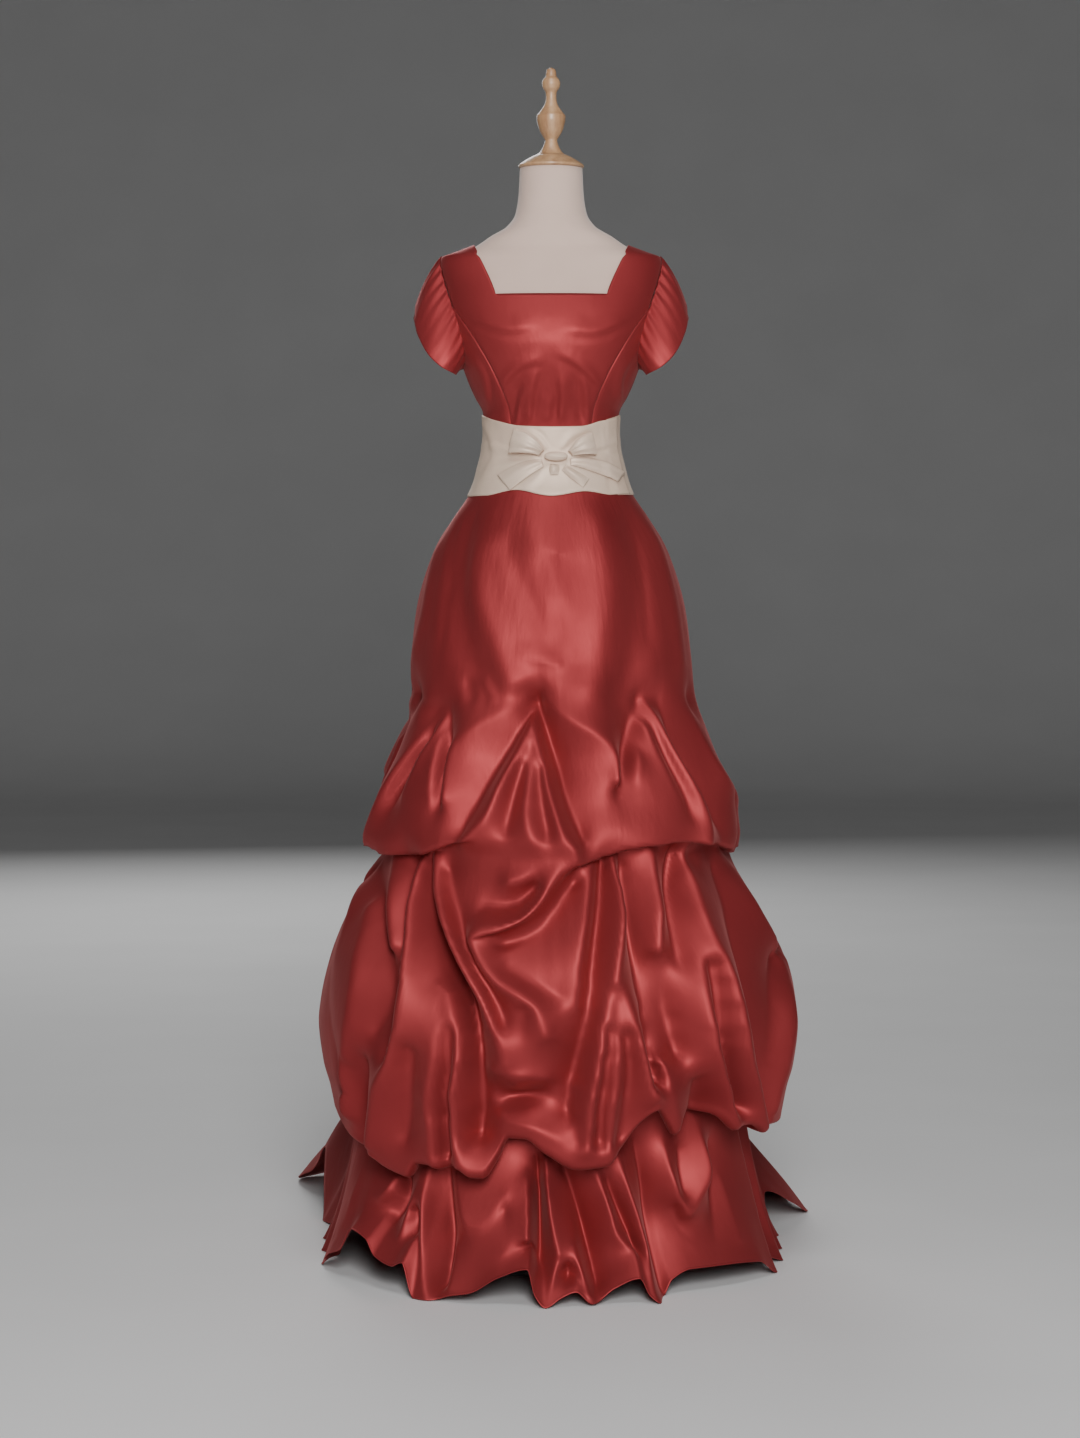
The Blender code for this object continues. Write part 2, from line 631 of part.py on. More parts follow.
def make_bodice_back(side, material):
    angle, height, corner_row = centre_panel(BACK_NECK)
    turn = 180 - angle if side > 0 else angle - 180
    points, normal = bodice_grid(turn, height)
    inner = np.arange(angle.shape[1] - 1) < INNER_CELLS
    keep = ~(inner[None, :] & (np.arange(len(angle) - 1) >= corner_row)[:, None])
    name = "bodice_back_left" if side > 0 else "bodice_back_right"
    wall(name, draw_in(points, normal, "left", "right", "bottom"), normal, material, keep)


def side_panel():
    """Angle and height grids between princess seam and side seam, blended from the four edges."""
    edge_angle, edge_height = bodice_edge()
    rows = len(BODICE_ROWS) + 1
    left = np.stack([edge_angle[:rows], edge_height[:rows]], -1)
    top = np.stack(armhole(np.array(SIDE_PLACES)), -1)
    share = np.linspace(0, 1, rows)[:, None]
    right = np.array([[90, BODICE_ROWS[0]]]) * (1 - share) + top[-1] * share
    across = np.linspace(0, 1, len(SIDE_PLACES))[None, :, None]
    bottom = left[0] * (1 - across[0]) + right[0] * across[0]
    up = share[:, None]
    blend = left[:, None] * (1 - across) + right[:, None] * across + bottom[None] * (1 - up) + top[None] * up
    corners = left[0] * (1 - across) * (1 - up) + right[0] * across * (1 - up)
    corners = corners + top[0] * (1 - across) * up + top[-1] * across * up
    grid = blend - corners
    return grid[..., 0], grid[..., 1]


def make_bodice_side(side, front, material):
    angle, height = side_panel()
    turn = angle if front else 180 - angle
    points, normal = bodice_grid(turn * side, height)
    place = "front" if front else "back"
    hand = "left" if side > 0 else "right"
    wall(f"bodice_side_{place}_{hand}", draw_in(points, normal, "left", "right"), normal, material)


# Sleeves
def sleeve_places():
    """Places round the armhole where the bodice has points, shoulder tip to underarm."""
    return np.array(sorted(set(STRAP_PLACES + SIDE_PLACES)), float)


def make_petal(side, front, material):
    """A petal from the armhole to its hem: it laps past the shoulder tip and narrows there."""
    places = sleeve_places()
    over = -places[(places > 0) & (places <= PETAL_LAP)][::-1]
    places = np.concatenate([over, places])
    front_half = (places >= 0) == front
    angle, height = armhole(np.abs(places))
    start = trunk_point(np.where(front_half, angle, 180 - angle), height)
    front_hem = np.stack(smooth_table(np.abs(places), FRONT_HEM), -1)
    back_hem = np.stack(smooth_table(np.abs(places), BACK_HEM), -1)
    hem = np.where(front_half[:, None], front_hem, start + (back_hem - start) * FRONT_SHARE)
    length = np.where(places < 0, 1 - (1 - PETAL_TAPER) * (np.abs(places) / PETAL_LAP) ** 1.6, 1.0)
    length = length if front else length / FRONT_SHARE
    first = start + unit(hem - start) * LAP
    share = np.linspace(0, 1, 5)[:, None, None] * length[None, :, None]
    grid = first[None] * (1 - share) + hem[None] * share
    centre = np.array(SLEEVE_CENTRE)
    puff = unit((start + hem) / 2 - centre)
    upper = np.clip((180 - np.abs(places)) / 60, 0, 1)[None, :, None]
    grid = grid + puff[None] * SLEEVE_PUFF * upper * share * (1.2 - share) / 0.36
    normal = grid_normal(grid, closed=False)
    if (normal * (grid - centre)).sum() < 0:
        normal = -normal
    if not front:
        grid = grid - normal * PETAL_GAP
    grid[..., 0] *= side
    normal[..., 0] *= side
    name = f"sleeve_{'front' if front else 'back'}_{'left' if side > 0 else 'right'}"
    wall(name, draw_in(grid, normal, "right"), normal, material, thickness=SLEEVE)


# Sash and bow
def sash_surface(angle, height, lift):
    """A place on the sash's outer face, moved out by a lift."""
    normal = surface_normal(angle, height)
    out = LAP + SATIN + np.asarray(lift, float)
    return trunk_point(angle, height) + normal * out[..., None], normal


def make_sash_band(name, angles, lift, material):
    top, bottom = smooth_table((angles + 180) % 360 - 180, SASH_EDGES)
    share = np.linspace(0, 1, 6)[:, None]
    height = top[None] * (1 - share) + bottom[None] * share
    turn = np.broadcast_to(angles, height.shape)
    grid, normal = sash_surface(turn, height, lift[None])
    wall(name, draw_in(grid, normal, "left", "right"), normal, material, thickness=SATIN)


def make_sash(material):
    front = np.arange(-90, SASH_END + 0.1, SASH_STEP)
    back = np.arange(SASH_LAP, 270 + 0.1, SASH_STEP)
    make_sash_band("belt_front", front, np.where(front >= SASH_LAP, SATIN + LAP, 0.0), material)
    make_sash_band("belt_back", back, np.zeros(len(back)), material)


def bend(ends, share):
    """Smooth route that starts at the first point, passes the second halfway and ends at the third."""
    first, middle, last = (np.array(point, float) for point in ends)
    control = 2 * middle - (first + last) / 2
    share = share[:, None]
    return first * (1 - share) ** 2 + control * 2 * share * (1 - share) + last * share**2


def make_ribbon(name, material):
    """A bow ribbon lying on the sash. A loop goes out along the sash and comes back above itself."""
    first, middle, last, widths = BOW[name]
    puff = LOOP_PUFF.get(name)
    steps = np.linspace(0, 1, 15 if puff else 6)
    share = 1 - np.abs(2 * steps - 1) ** 1.3 if puff else steps
    route = bend((first, middle, last), share)
    ahead = bend((first, middle, last), share + 0.01) - bend((first, middle, last), share - 0.01)
    side = unit(ahead)[:, ::-1] * np.array([-1, 1])
    half = smooth_table(share, list(zip((0, 0.5, 1), widths)))[0]
    across = np.linspace(-1, 1, 5)
    place = route[:, None] + side[:, None] * (half[:, None] * across)[..., None]
    lift = np.full(place.shape[:2], BOW_REST + RIBBON)
    if puff:
        above = (steps > 0.5).astype(float)[:, None]
        swell = puff * np.sin(np.pi * np.clip(share, 0, 1) ** 0.8 * 0.80)[:, None]
        lift = LOOP_REST + above * (LOOP_ROOT + swell * (1 - 0.35 * across**2))
        middle_row = len(steps) // 2
        lift[middle_row] = (lift[middle_row - 1] + lift[middle_row + 1]) / 2
    else:
        crown = 0.0035 * np.sin(np.pi * steps)[:, None] * (1 - across**2)
        lift = lift + crown
    height = place[..., 1]
    angle = angle_of(place[..., 0], height)
    lift = lift + (SATIN + LAP + BOW_REST) * np.clip((angle - SASH_LAP) / SASH_STEP + 1.8, 0, 1)
    grid, outward = sash_surface(angle, height, lift)
    normal = grid_normal(grid, closed=False)
    if puff:
        flat = (normal[-2] * outward[-2]).sum() < 0
    else:
        flat = (normal * outward).sum() < 0
    wall(name, grid, -normal if flat else normal, material, thickness=RIBBON)


def make_knot(material):
    """The sash's wrapped knot, a flattened egg that rests on the band."""
    rings, sides = 7, 14
    latitude = np.linspace(-math.pi / 2, math.pi / 2, rings + 2)[1:-1][:, None]
    longitude = np.linspace(0, 2 * math.pi, sides, endpoint=False)[None]
    half_x, half_y, half_z = KNOT_SIZE
    x = half_x * np.cos(latitude) * np.cos(longitude)
    z = half_z * np.cos(latitude) * np.sin(longitude)
    out = half_y * np.sin(latitude) * np.ones_like(longitude)
    angle = float(angle_of(*KNOT_CENTRE))
    centre, normal = sash_surface(np.array(angle), np.array(KNOT_CENTRE[1]), 0.0006 + half_y)
    right = unit(np.cross(np.array([0, 0, 1.0]), normal)) * -1
    up = np.cross(normal, right) * -1
    grid = centre + x[..., None] * right + z[..., None] * up + out[..., None] * normal
    points = np.concatenate([grid.reshape(-1, 3), [centre - half_y * normal, centre + half_y * normal]])
    index = np.arange(rings * sides).reshape(rings, sides)
    beside = np.roll(index, -1, axis=1)
    faces = [f for a, b, c, d in zip(index[:-1].flat, beside[:-1].flat, beside[1:].flat, index[1:].flat)
             for f in ((a, b, c), (a, c, d))]
    faces += [(b, a, rings * sides) for a, b in zip(index[0], beside[0])]
    faces += [(a, b, rings * sides + 1) for a, b in zip(index[-1], beside[-1])]
    return solid("bow_knot", points, np.array(faces), material)


def solid(name, points, faces, material):
    """A closed body, turned the right way out if its volume comes out negative."""
    corners = points[faces]
    if np.linalg.det(corners - points.mean(axis=0)).sum() < 0:
        faces = faces[:, ::-1]
    return make_object(name, points, faces, material)


# Overskirt
def tuck_folds():
    """Folds that fall from the tucks behind the side seams, a fan of four from each."""
    folds = []
    random = np.random.default_rng(7)
    for angle, height, _, _ in TUCKS:
        if abs(angle) < BACK_FOLD_FROM:
            continue
        drop = 0.19 if height > 0.75 else 0.33
        for lean in (-21, -8, 6, 19):
            lean = lean + random.uniform(-3, 3)
            reach = drop * random.uniform(0.75, 1.05)
            rise = random.uniform(0.012, 0.019)
            half = random.uniform(0.020, 0.028)
            middle = (angle + 0.62 * lean, height - 0.5 * reach)
            folds.append((angle + lean * 0.1, height - 0.012, *middle, angle + lean, height - reach, rise, half))
    return folds


def fold_relief(angle, height, radius):
    """Sum of all folds: a round crest along each route, a shallow valley on one side, faded ends."""
    total = np.zeros(angle.shape)
    share = np.linspace(0, 1, 25)
    for a0, z0, a1, z1, a2, z2, rise, half in FOLDS + tuck_folds():
        route = bend(((a0, z0), (a1, z1), (a2, z2)), share)
        turn = (angle[..., None] - route[:, 0] + 180) % 360 - 180
        aside = np.radians(turn) * radius[..., None]
        below = height[..., None] - route[:, 1]
        distance = np.sqrt(aside**2 + below**2)
        nearest = distance.argmin(axis=-1)
        gap = np.take_along_axis(distance, nearest[..., None], -1)[..., 0]
        on_left = np.take_along_axis(aside, nearest[..., None], -1)[..., 0] < 0
        along = share[nearest]
        fade = np.minimum(1, 0.25 + 4 * along) * np.minimum(1, 0.1 + 3 * (1 - along))
        crest = np.exp(-((gap / half) ** 2))
        valley = 0.45 * np.exp(-(((gap - 1.7 * half) / (0.75 * half)) ** 2)) * on_left
        total += rise * fade * (crest - valley)
    return total


def tuck_relief(angle, height, radius):
    """A round dimple at each pick-up stitch."""
    total = np.zeros(angle.shape)
    for turn, level, depth, spread in TUCKS:
        aside = np.radians((angle - turn + 180) % 360 - 180) * radius
        total -= depth * np.exp(-(aside**2 + (height - level) ** 2) / spread**2)
    return total


def lip_relief(angle, height):
    """The cloth stands out above each lip line and turns in below it."""
    total = np.zeros(angle.shape)
    for line in (LEFT_LIP, RIGHT_LIP, BACK_LIP):
        first, last = line[0][0], line[-1][0]
        turn = np.where(angle < first - 8, angle + 360, angle) if last > 180 else angle
        level = smooth_table(turn, line)[0]
        fade = np.clip((turn - first + 6) / 12, 0, 1) * np.clip((last - turn + 6) / 12, 0, 1)
        above = height - level
        out = LIP_OUT * np.exp(-np.clip(above, 0, 1) / 0.075)
        under = -LIP_IN * np.exp(-np.clip(-above, 0, 1) / 0.045)
        step = np.clip(above / 0.012 + 0.5, 0, 1)
        total += fade * (out * step + under * (1 - step))
    return total


def overskirt_point(angle, height):
    """Outer face of the overskirt: the bell's section with its folds, tucks and lips."""
    base = trunk_point(angle, height)
    radius = np.hypot(base[..., 0], base[..., 1])
    relief = fold_relief(angle, height, radius) + tuck_relief(angle, height, radius) + lip_relief(angle, height)
    relief = relief * np.clip((1.165 - height) / 0.05, 0, 1)
    outward = base * np.array([1, 1, 0])
    return base + unit(outward) * relief[..., None]


def ring_ellipse(angle):
    """Seam ring between overskirt and flounce, at an angle of its ellipse."""
    half, front, back = RING
    turn = np.radians(angle)
    depth = np.where(np.cos(turn) > 0, front, back)
    return np.stack([half * np.sin(turn), -depth * np.cos(turn)], -1)


def overskirt_grid():
    """Angles of the columns and the whole ring grid, waist to lower edge, then turned up inside."""
    front = np.arange(-SIDE_SEAM, SIDE_SEAM + 0.1, FRONT_STEP)
    back = np.linspace(SIDE_SEAM, 360 - SIDE_SEAM, round((360 - 2 * SIDE_SEAM) / BACK_STEP / 2) * 2 + 1)[1:-1]
    angles = (np.concatenate([front, back]) + 180) % 360 - 180
    edge = smooth_table(angles, OVERSKIRT_EDGE)[0]
    upper = np.repeat(np.array(OVERSKIRT_ROWS)[:, None], len(angles), axis=1)
    lower = [upper[-1] + (edge - upper[-1]) * share for share in EDGE_SHARES]
    height = np.concatenate([upper, np.array(lower)])
    grid = overskirt_point(np.broadcast_to(angles, height.shape), height)
    last = grid[-1]
    ring = ring_ellipse(angles)
    ring = ring + unit(ring) * LAP
    inner = np.concatenate([ring, np.full((len(angles), 1), SEAM_RING + SEAM)], axis=1)
    rows = []
    for share, added in TURN_IN:
        row = last * (1 - share) + inner * share
        row[:, 2] = last[:, 2] - TURN_DROP if added is None else row[:, 2] + added
        rows.append(row)
    return angles, np.concatenate([grid, np.array(rows)])


def make_overskirt(material):
    angles, grid = overskirt_grid()
    normal = grid_normal(grid, closed=True)
    count = len(angles)
    side = int(np.argmin(np.abs(angles - SIDE_SEAM)))
    middle = int(np.argmin(np.abs(np.abs(angles) - 180)))
    spans = {
        "overskirt_front": (0, side),
        "overskirt_back_left": (side, middle),
        "overskirt_back_right": (middle, count),
    }
    for name, (first, last) in spans.items():
        columns = np.arange(first, last + 1) % count
        part = draw_in(grid[:, columns], normal[:, columns], "left", "right")
        wall(name, part, normal[:, columns], material)


# Flounce
def pleat_columns():
    """Columns at each crest, each valley and between: angle, stand-out and lift off the floor."""
    columns = []
    for (angle, out, lift), (after, next_out, _) in zip(PLEATS, PLEATS[1:] + PLEATS[:1]):
        gap = (after - angle) % 360
        valley_in = -0.5 * (out + next_out) / 2
        columns.append((angle, out, 0.0))
        columns.append((angle + 0.27 * gap, 0.45 * out, 0.35 * lift))
        columns.append((angle + 0.52 * gap, valley_in, lift))
        columns.append((angle + 0.77 * gap, 0.40 * next_out, 0.45 * lift))
    return np.array(columns)


def flounce_grid():
    """Each column is a curve from the seam ring down to the hem, flatter where the train trails."""
    turn, out, lift = pleat_columns().T
    turn = (turn + 180) % 360 - 180
    order = np.argsort(turn)
    turn, out, lift = turn[order], out[order], lift[order]
    direction = np.stack([np.sin(np.radians(turn)), -np.cos(np.radians(turn))], -1)
    half, front, back = RING
    depth = np.where(np.cos(np.radians(turn)) > 0, front, back)
    top = 1 / np.hypot(direction[:, 0] / half, direction[:, 1] / depth)
    hem = smooth_table(turn, FLOUNCE_HEM)[0]
    trail = np.clip((hem - 0.35) / 0.40, 0, 1)
    control_radius = top + (hem - top) * (0.28 - 0.20 * trail)
    control_height = 0.11 - 0.085 * trail
    share = np.array(PLEAT_ROWS)[:, None]
    radius = top * (1 - share) ** 2 + control_radius * 2 * share * (1 - share) + hem * share**2
    height = SEAM_RING * (1 - share) ** 2 + control_height * 2 * share * (1 - share)
    radius = radius + out * share**1.6
    height = np.maximum(height, FLOOR_GAP) + lift * share**2
    for first, last, spread, rise in TIPS:
        aside = turn - (first + (last - first) * share)
        height = height + rise * 6.75 * share**2 * (1 - share) * np.exp(-((aside / spread) ** 2))
    points = direction[None] * radius[..., None]
    return turn, np.concatenate([points, height[..., None]], axis=-1)


def make_flounce(material):
    turn, grid = flounce_grid()
    normal = grid_normal(grid, closed=True)
    count = len(turn)
    marks = [int(np.argmin(np.abs(turn - angle))) for angle in (-SIDE_SEAM, SIDE_SEAM)]
    spans = {
        "flounce_front": (marks[0], marks[1]),
        "flounce_back_left": (marks[1], count),
        "flounce_back_right": (count, count + marks[0]),
    }
    for name, (first, last) in spans.items():
        columns = np.arange(first, last + 1) % count
        part = draw_in(grid[:, columns], normal[:, columns], "left", "right")
        wall(name, part, normal[:, columns], material)


# Dress form
def make_torso(material):
    heights = np.array([row[0] for row in FORM])
    angles = np.arange(FORM_SIDES) * 360 / FORM_SIDES
    turn, level = np.meshgrid(angles, heights)
    grid = ring_point(turn, level, FORM)
    rows = len(heights)
    index = np.arange(rows * FORM_SIDES).reshape(rows, FORM_SIDES)
    beside = np.roll(index, -1, axis=1)
    a, b, c, d = (part.reshape(-1) for part in (index[:-1], beside[:-1], beside[1:], index[1:]))
    sides = np.concatenate([np.stack([a, b, c], 1), np.stack([a, c, d], 1)])
    count = rows * FORM_SIDES
    top = np.stack([np.roll(index[0], -1), index[0], np.full(FORM_SIDES, count)], 1)
    bottom = np.stack([index[-1], np.roll(index[-1], -1), np.full(FORM_SIDES, count + 1)], 1)
    centres = np.array([[0, 0, heights[0]], [0, 0, heights[-1]]])
    faces = np.concatenate([sides, top, bottom])
    return solid("form_torso", np.concatenate([grid.reshape(-1, 3), centres]), faces, material)


def turned(name, profile, sides, material):
    """A turned piece from (height, radius) pairs, closed by a flat face at each end."""
    turn = np.linspace(0, 2 * math.pi, sides, endpoint=False)
    rings = [[(r * math.cos(t), r * math.sin(t), z) for t in turn] for z, r in profile]
    points = np.array(rings).reshape(-1, 3)
    index = np.arange(len(points)).reshape(len(profile), sides)
    beside = np.roll(index, -1, axis=1)
    a, b, c, d = (part.reshape(-1) for part in (index[:-1], beside[:-1], beside[1:], index[1:]))
    faces = np.concatenate([np.stack([a, b, c], 1), np.stack([a, c, d], 1)])
    count = len(points)
    ends = np.array([[0, 0, profile[0][0]], [0, 0, profile[-1][0]]])
    first = np.stack([np.roll(index[0], -1), index[0], np.full(sides, count)], 1)
    last = np.stack([index[-1], np.roll(index[-1], -1), np.full(sides, count + 1)], 1)
    return solid(name, np.concatenate([points, ends]), np.concatenate([faces, first, last]), material)


def make_stand(wood, steel):
    cap_low = FORM[0][0] + SEAM
    cap = [(0, -0.005), (0.002, -0.001), (0.0045, -0.001), (0.0069, -0.004)]
    cap += [(0.0107, -0.010), (0.0177, -0.022), (CAP_THICKNESS, -0.0275)]
    turned("form_neck_cap", [(cap_low + z, CAP_RADIUS + r) for z, r in cap], 32, wood)
    shift = cap_low + CAP_THICKNESS + SEAM - FINIAL[0][0]
    turned("form_finial", [(z + shift, r) for z, r in FINIAL], 16, wood)
    foot = BASE_THICKNESS + SEAM
    turned("form_pole", [(foot, POLE_RADIUS), (FORM[-1][0] - SEAM, POLE_RADIUS)], 20, steel)
    base = [(0, 0.0), (BASE_THICKNESS * 0.6, 0.0), (BASE_THICKNESS, -0.005)]
    turned("form_base", [(z, BASE_RADIUS + r) for z, r in base], 48, steel)


def main():
    clear_scene()
    materials = {name: make_material(name) for name in FINISHES}
    cloth, satin = materials["cloth"], materials["satin"]
    make_bodice_front(cloth)
    for side in (1, -1):
        make_bodice_back(side, cloth)
        for front in (True, False):
            make_bodice_side(side, front, cloth)
            make_petal(side, front, cloth)
    make_sash(satin)
    for name in BOW:
        make_ribbon(name, satin)
    make_knot(satin)
    make_overskirt(cloth)
    make_flounce(cloth)
    make_torso(materials["jersey"])
    make_stand(materials["wood"], materials["steel"])


main()
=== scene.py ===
# %% [markdown]
# # A satin prom dress on its dress form
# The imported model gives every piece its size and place. This lesson makes what the eye sees over it:
# thin cloth with folds, a tied sash, a jersey-covered form, turned wood, and a plain studio.
# Lengths are metres, +Z is up, the dress faces -Y, and angle 0 is the centre front.

# %% The frame
import math

import bpy
import numpy as np
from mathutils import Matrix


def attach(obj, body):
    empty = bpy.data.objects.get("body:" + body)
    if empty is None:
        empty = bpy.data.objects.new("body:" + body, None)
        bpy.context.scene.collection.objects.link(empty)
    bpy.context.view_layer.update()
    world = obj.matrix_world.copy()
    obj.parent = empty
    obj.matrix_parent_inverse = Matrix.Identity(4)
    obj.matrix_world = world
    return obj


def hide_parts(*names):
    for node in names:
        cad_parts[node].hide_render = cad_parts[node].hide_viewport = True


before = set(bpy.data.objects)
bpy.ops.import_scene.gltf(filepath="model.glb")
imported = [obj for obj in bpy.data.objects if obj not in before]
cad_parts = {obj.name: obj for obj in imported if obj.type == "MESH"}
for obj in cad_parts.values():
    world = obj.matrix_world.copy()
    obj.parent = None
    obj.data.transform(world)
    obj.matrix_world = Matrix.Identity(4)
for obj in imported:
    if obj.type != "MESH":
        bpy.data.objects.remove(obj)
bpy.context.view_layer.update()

# %% [markdown]
# ## The camera
# The picture was taken from chest height, about five metres away, and a little above the middle of the
# skirt. A long lens at that distance gives the same slight view down onto the hem.

# %% Camera
EYE, AIM = (-0.017, -5.13, 1.078), (-0.017, 0.0, 0.836)
LENS, SENSOR = 83.4, 36.0


def aim(obj, target):
    """Turn an object so that its -Z axis points at the target and its Y axis points up."""
    direction = np.array(target) - np.array(obj.location)
    flat = math.hypot(direction[0], direction[1])
    obj.rotation_euler = (math.atan2(flat, -direction[2]), 0, math.atan2(-direction[0], direction[1]))


camera_data = bpy.data.cameras.new("camera")
camera_data.lens, camera_data.sensor_height, camera_data.sensor_fit = LENS, SENSOR, "VERTICAL"
camera = bpy.data.objects.new("camera", camera_data)
camera.location = EYE
aim(camera, AIM)
bpy.context.scene.collection.objects.link(camera)
bpy.context.scene.camera = camera
print("camera", round(math.dist(EYE, AIM), 2), "m from the dress")

# %% [markdown]
# ## Tables and curves
# Every shape is read from a short table by a smooth curve that passes through its rows and never
# overshoots between them, so a table of measured places is all that a shape needs.

# %% Smooth tables


def smooth_table(at, table):
    """Columns of a table at these places: cubic steps, sloped by the harmonic mean of the slopes beside."""
    table = np.array(table, float)
    table = table[np.argsort(table[:, 0], kind="stable")]
    x, y = table[:, 0], table[:, 1:]
    step = np.diff(x)[:, None]
    slope = np.diff(y, axis=0) / step
    total, product = slope[:-1] + slope[1:], slope[:-1] * slope[1:]
    inner = np.where(product > 0, 2 * product / np.where(total == 0, 1, total), 0)
    tangent = np.concatenate([slope[:1], inner, slope[-1:]])
    at = np.clip(np.asarray(at, float), x[0], x[-1])
    cell = np.clip(np.searchsorted(x, at, side="right") - 1, 0, len(x) - 2)
    width = step[cell]
    t = (at - x[cell])[..., None] / width
    rise, a, b = y[cell + 1] - y[cell], tangent[cell] * width, tangent[cell + 1] * width
    value = y[cell] + (3 * t**2 - 2 * t**3) * rise + (t**3 - 2 * t**2 + t) * a + (t**3 - t**2) * b
    return np.moveaxis(value, -1, 0)


def power(value, exponent):
    """The size of a value raised to an exponent, with the value's own sign."""
    return np.sign(value) * np.abs(value) ** exponent


FLAT = np.array([1, 1, 0])  # keeps x and y of a point


def unit(vectors):
    """Vectors divided by their own length."""
    return vectors / np.maximum(np.linalg.norm(vectors, axis=-1, keepdims=True), 1e-12)


def refine(values, times):
    """A grid with this many steps for each one along both sides, read by the smooth table."""
    for _ in range(2):
        rows = np.arange(len(values))
        fine = np.linspace(0, len(values) - 1, (len(values) - 1) * times + 1)
        values = smooth_table(fine, np.column_stack([rows, values])).T
        values = values.T
    return values


print("tables ready")

# %% [markdown]
# ## The body line
# The bodice, sash and skirt all lie on one closed form: at each height a rounded section with a half
# width, a front depth and a back depth. The same numbers shaped the solids, so the cloth fits them.

# %% Body section: height, half width, front depth, back depth, roundness
TRUNK = [
    (1.575, 0.085, 0.058, 0.064, 0.90),
    (1.562, 0.118, 0.0635, 0.070, 0.90),
    (1.550, 0.150, 0.070, 0.077, 0.90),
    (1.543, 0.168, 0.074, 0.081, 0.90),
    (1.530, 0.1715, 0.081, 0.087, 0.90),
    (1.500, 0.168, 0.098, 0.094, 0.90),
    (1.470, 0.162, 0.112, 0.098, 0.90),
    (1.440, 0.154, 0.121, 0.099, 0.90),
    (1.410, 0.146, 0.125, 0.098, 0.90),
    (1.380, 0.137, 0.121, 0.095, 0.90),
    (1.350, 0.126, 0.112, 0.091, 0.90),
    (1.330, 0.117, 0.104, 0.087, 0.90),
    (1.304, 0.1045, 0.093, 0.083, 0.92),
    (1.274, 0.1030, 0.086, 0.081, 0.94),
    (1.250, 0.1050, 0.086, 0.083, 0.95),
    (1.220, 0.1120, 0.092, 0.092, 0.96),
    (1.190, 0.1210, 0.099, 0.104, 0.97),
    (1.143, 0.151, 0.120, 0.140, 1.0),
    (1.081, 0.182, 0.142, 0.185, 1.0),
    (1.004, 0.205, 0.165, 0.225, 1.0),
    (0.927, 0.216, 0.182, 0.255, 1.0),
    (0.881, 0.220, 0.192, 0.275, 1.0),
    (0.796, 0.246, 0.215, 0.310, 1.0),
    (0.727, 0.272, 0.245, 0.345, 1.0),
    (0.673, 0.282, 0.258, 0.365, 1.0),
    (0.642, 0.270, 0.250, 0.358, 1.0),
    (0.550, 0.313, 0.285, 0.405, 1.0),
    (0.473, 0.350, 0.312, 0.440, 1.0),
    (0.403, 0.367, 0.325, 0.465, 1.0),
    (0.373, 0.370, 0.328, 0.470, 1.0),
    (0.311, 0.363, 0.325, 0.470, 1.0),
    (0.273, 0.353, 0.320, 0.465, 1.0),
    (0.203, 0.342, 0.312, 0.455, 1.0),
    (0.150, 0.335, 0.308, 0.448, 1.0),
]


def ring_point(angle, height, table):
    """Half width times the sine of the angle, and front or back depth times its cosine, at a height."""
    half, front, back, roundness = smooth_table(height, table)
    turn = np.radians(angle)
    depth = np.where(np.cos(turn) > 0, front, back)
    x = half * power(np.sin(turn), roundness)
    y = -depth * power(np.cos(turn), roundness)
    return np.stack([x, y, np.broadcast_to(height, x.shape)], axis=-1)


def trunk_point(angle, height):
    """A place on the body line."""
    return ring_point(np.asarray(angle, float), np.asarray(height, float), TRUNK)


def trunk_normal(angle, height):
    """Outward direction there: across a small step round the section and a small step up."""
    turn, rise = 0.4, 0.001
    along = trunk_point(angle + turn, height) - trunk_point(angle - turn, height)
    up = trunk_point(angle, height + rise) - trunk_point(angle, height - rise)
    return unit(np.cross(along, up))


def angle_of(x, height):
    """The angle at which the section at a height has this x."""
    half, _, _, roundness = smooth_table(height, TRUNK)
    return np.degrees(np.arcsin(np.clip(power(x / half, 1 / roundness), -1, 1)))


print("body line from", TRUNK[-1][0], "to", TRUNK[0][0], "m")

# %% [markdown]
# ## A crease
# A crease in cloth is a soft ridge along a route, steeper on one side, with a shallow trough beside it.
# One function adds any number of them to a surface, so each garment piece keeps only a list of routes.

# %% Creases along routes
ROUTE_STEPS = 60
STEEP_SIDE, SLACK_SIDE = 0.62, 1.15
TROUGH_DEPTH, TROUGH_AT, TROUGH_WIDTH, TROUGH_SLACK = 0.42, 1.75, 0.8, 0.35


def smooth_route(points):
    """Even steps along a route through these points, with each coordinate read by the smooth table."""
    points = np.array(points, float)
    length = np.concatenate([[0], np.cumsum(np.linalg.norm(np.diff(points, axis=0), axis=1))])
    return smooth_table(np.linspace(0, length[-1], ROUTE_STEPS), np.column_stack([length, points])).T


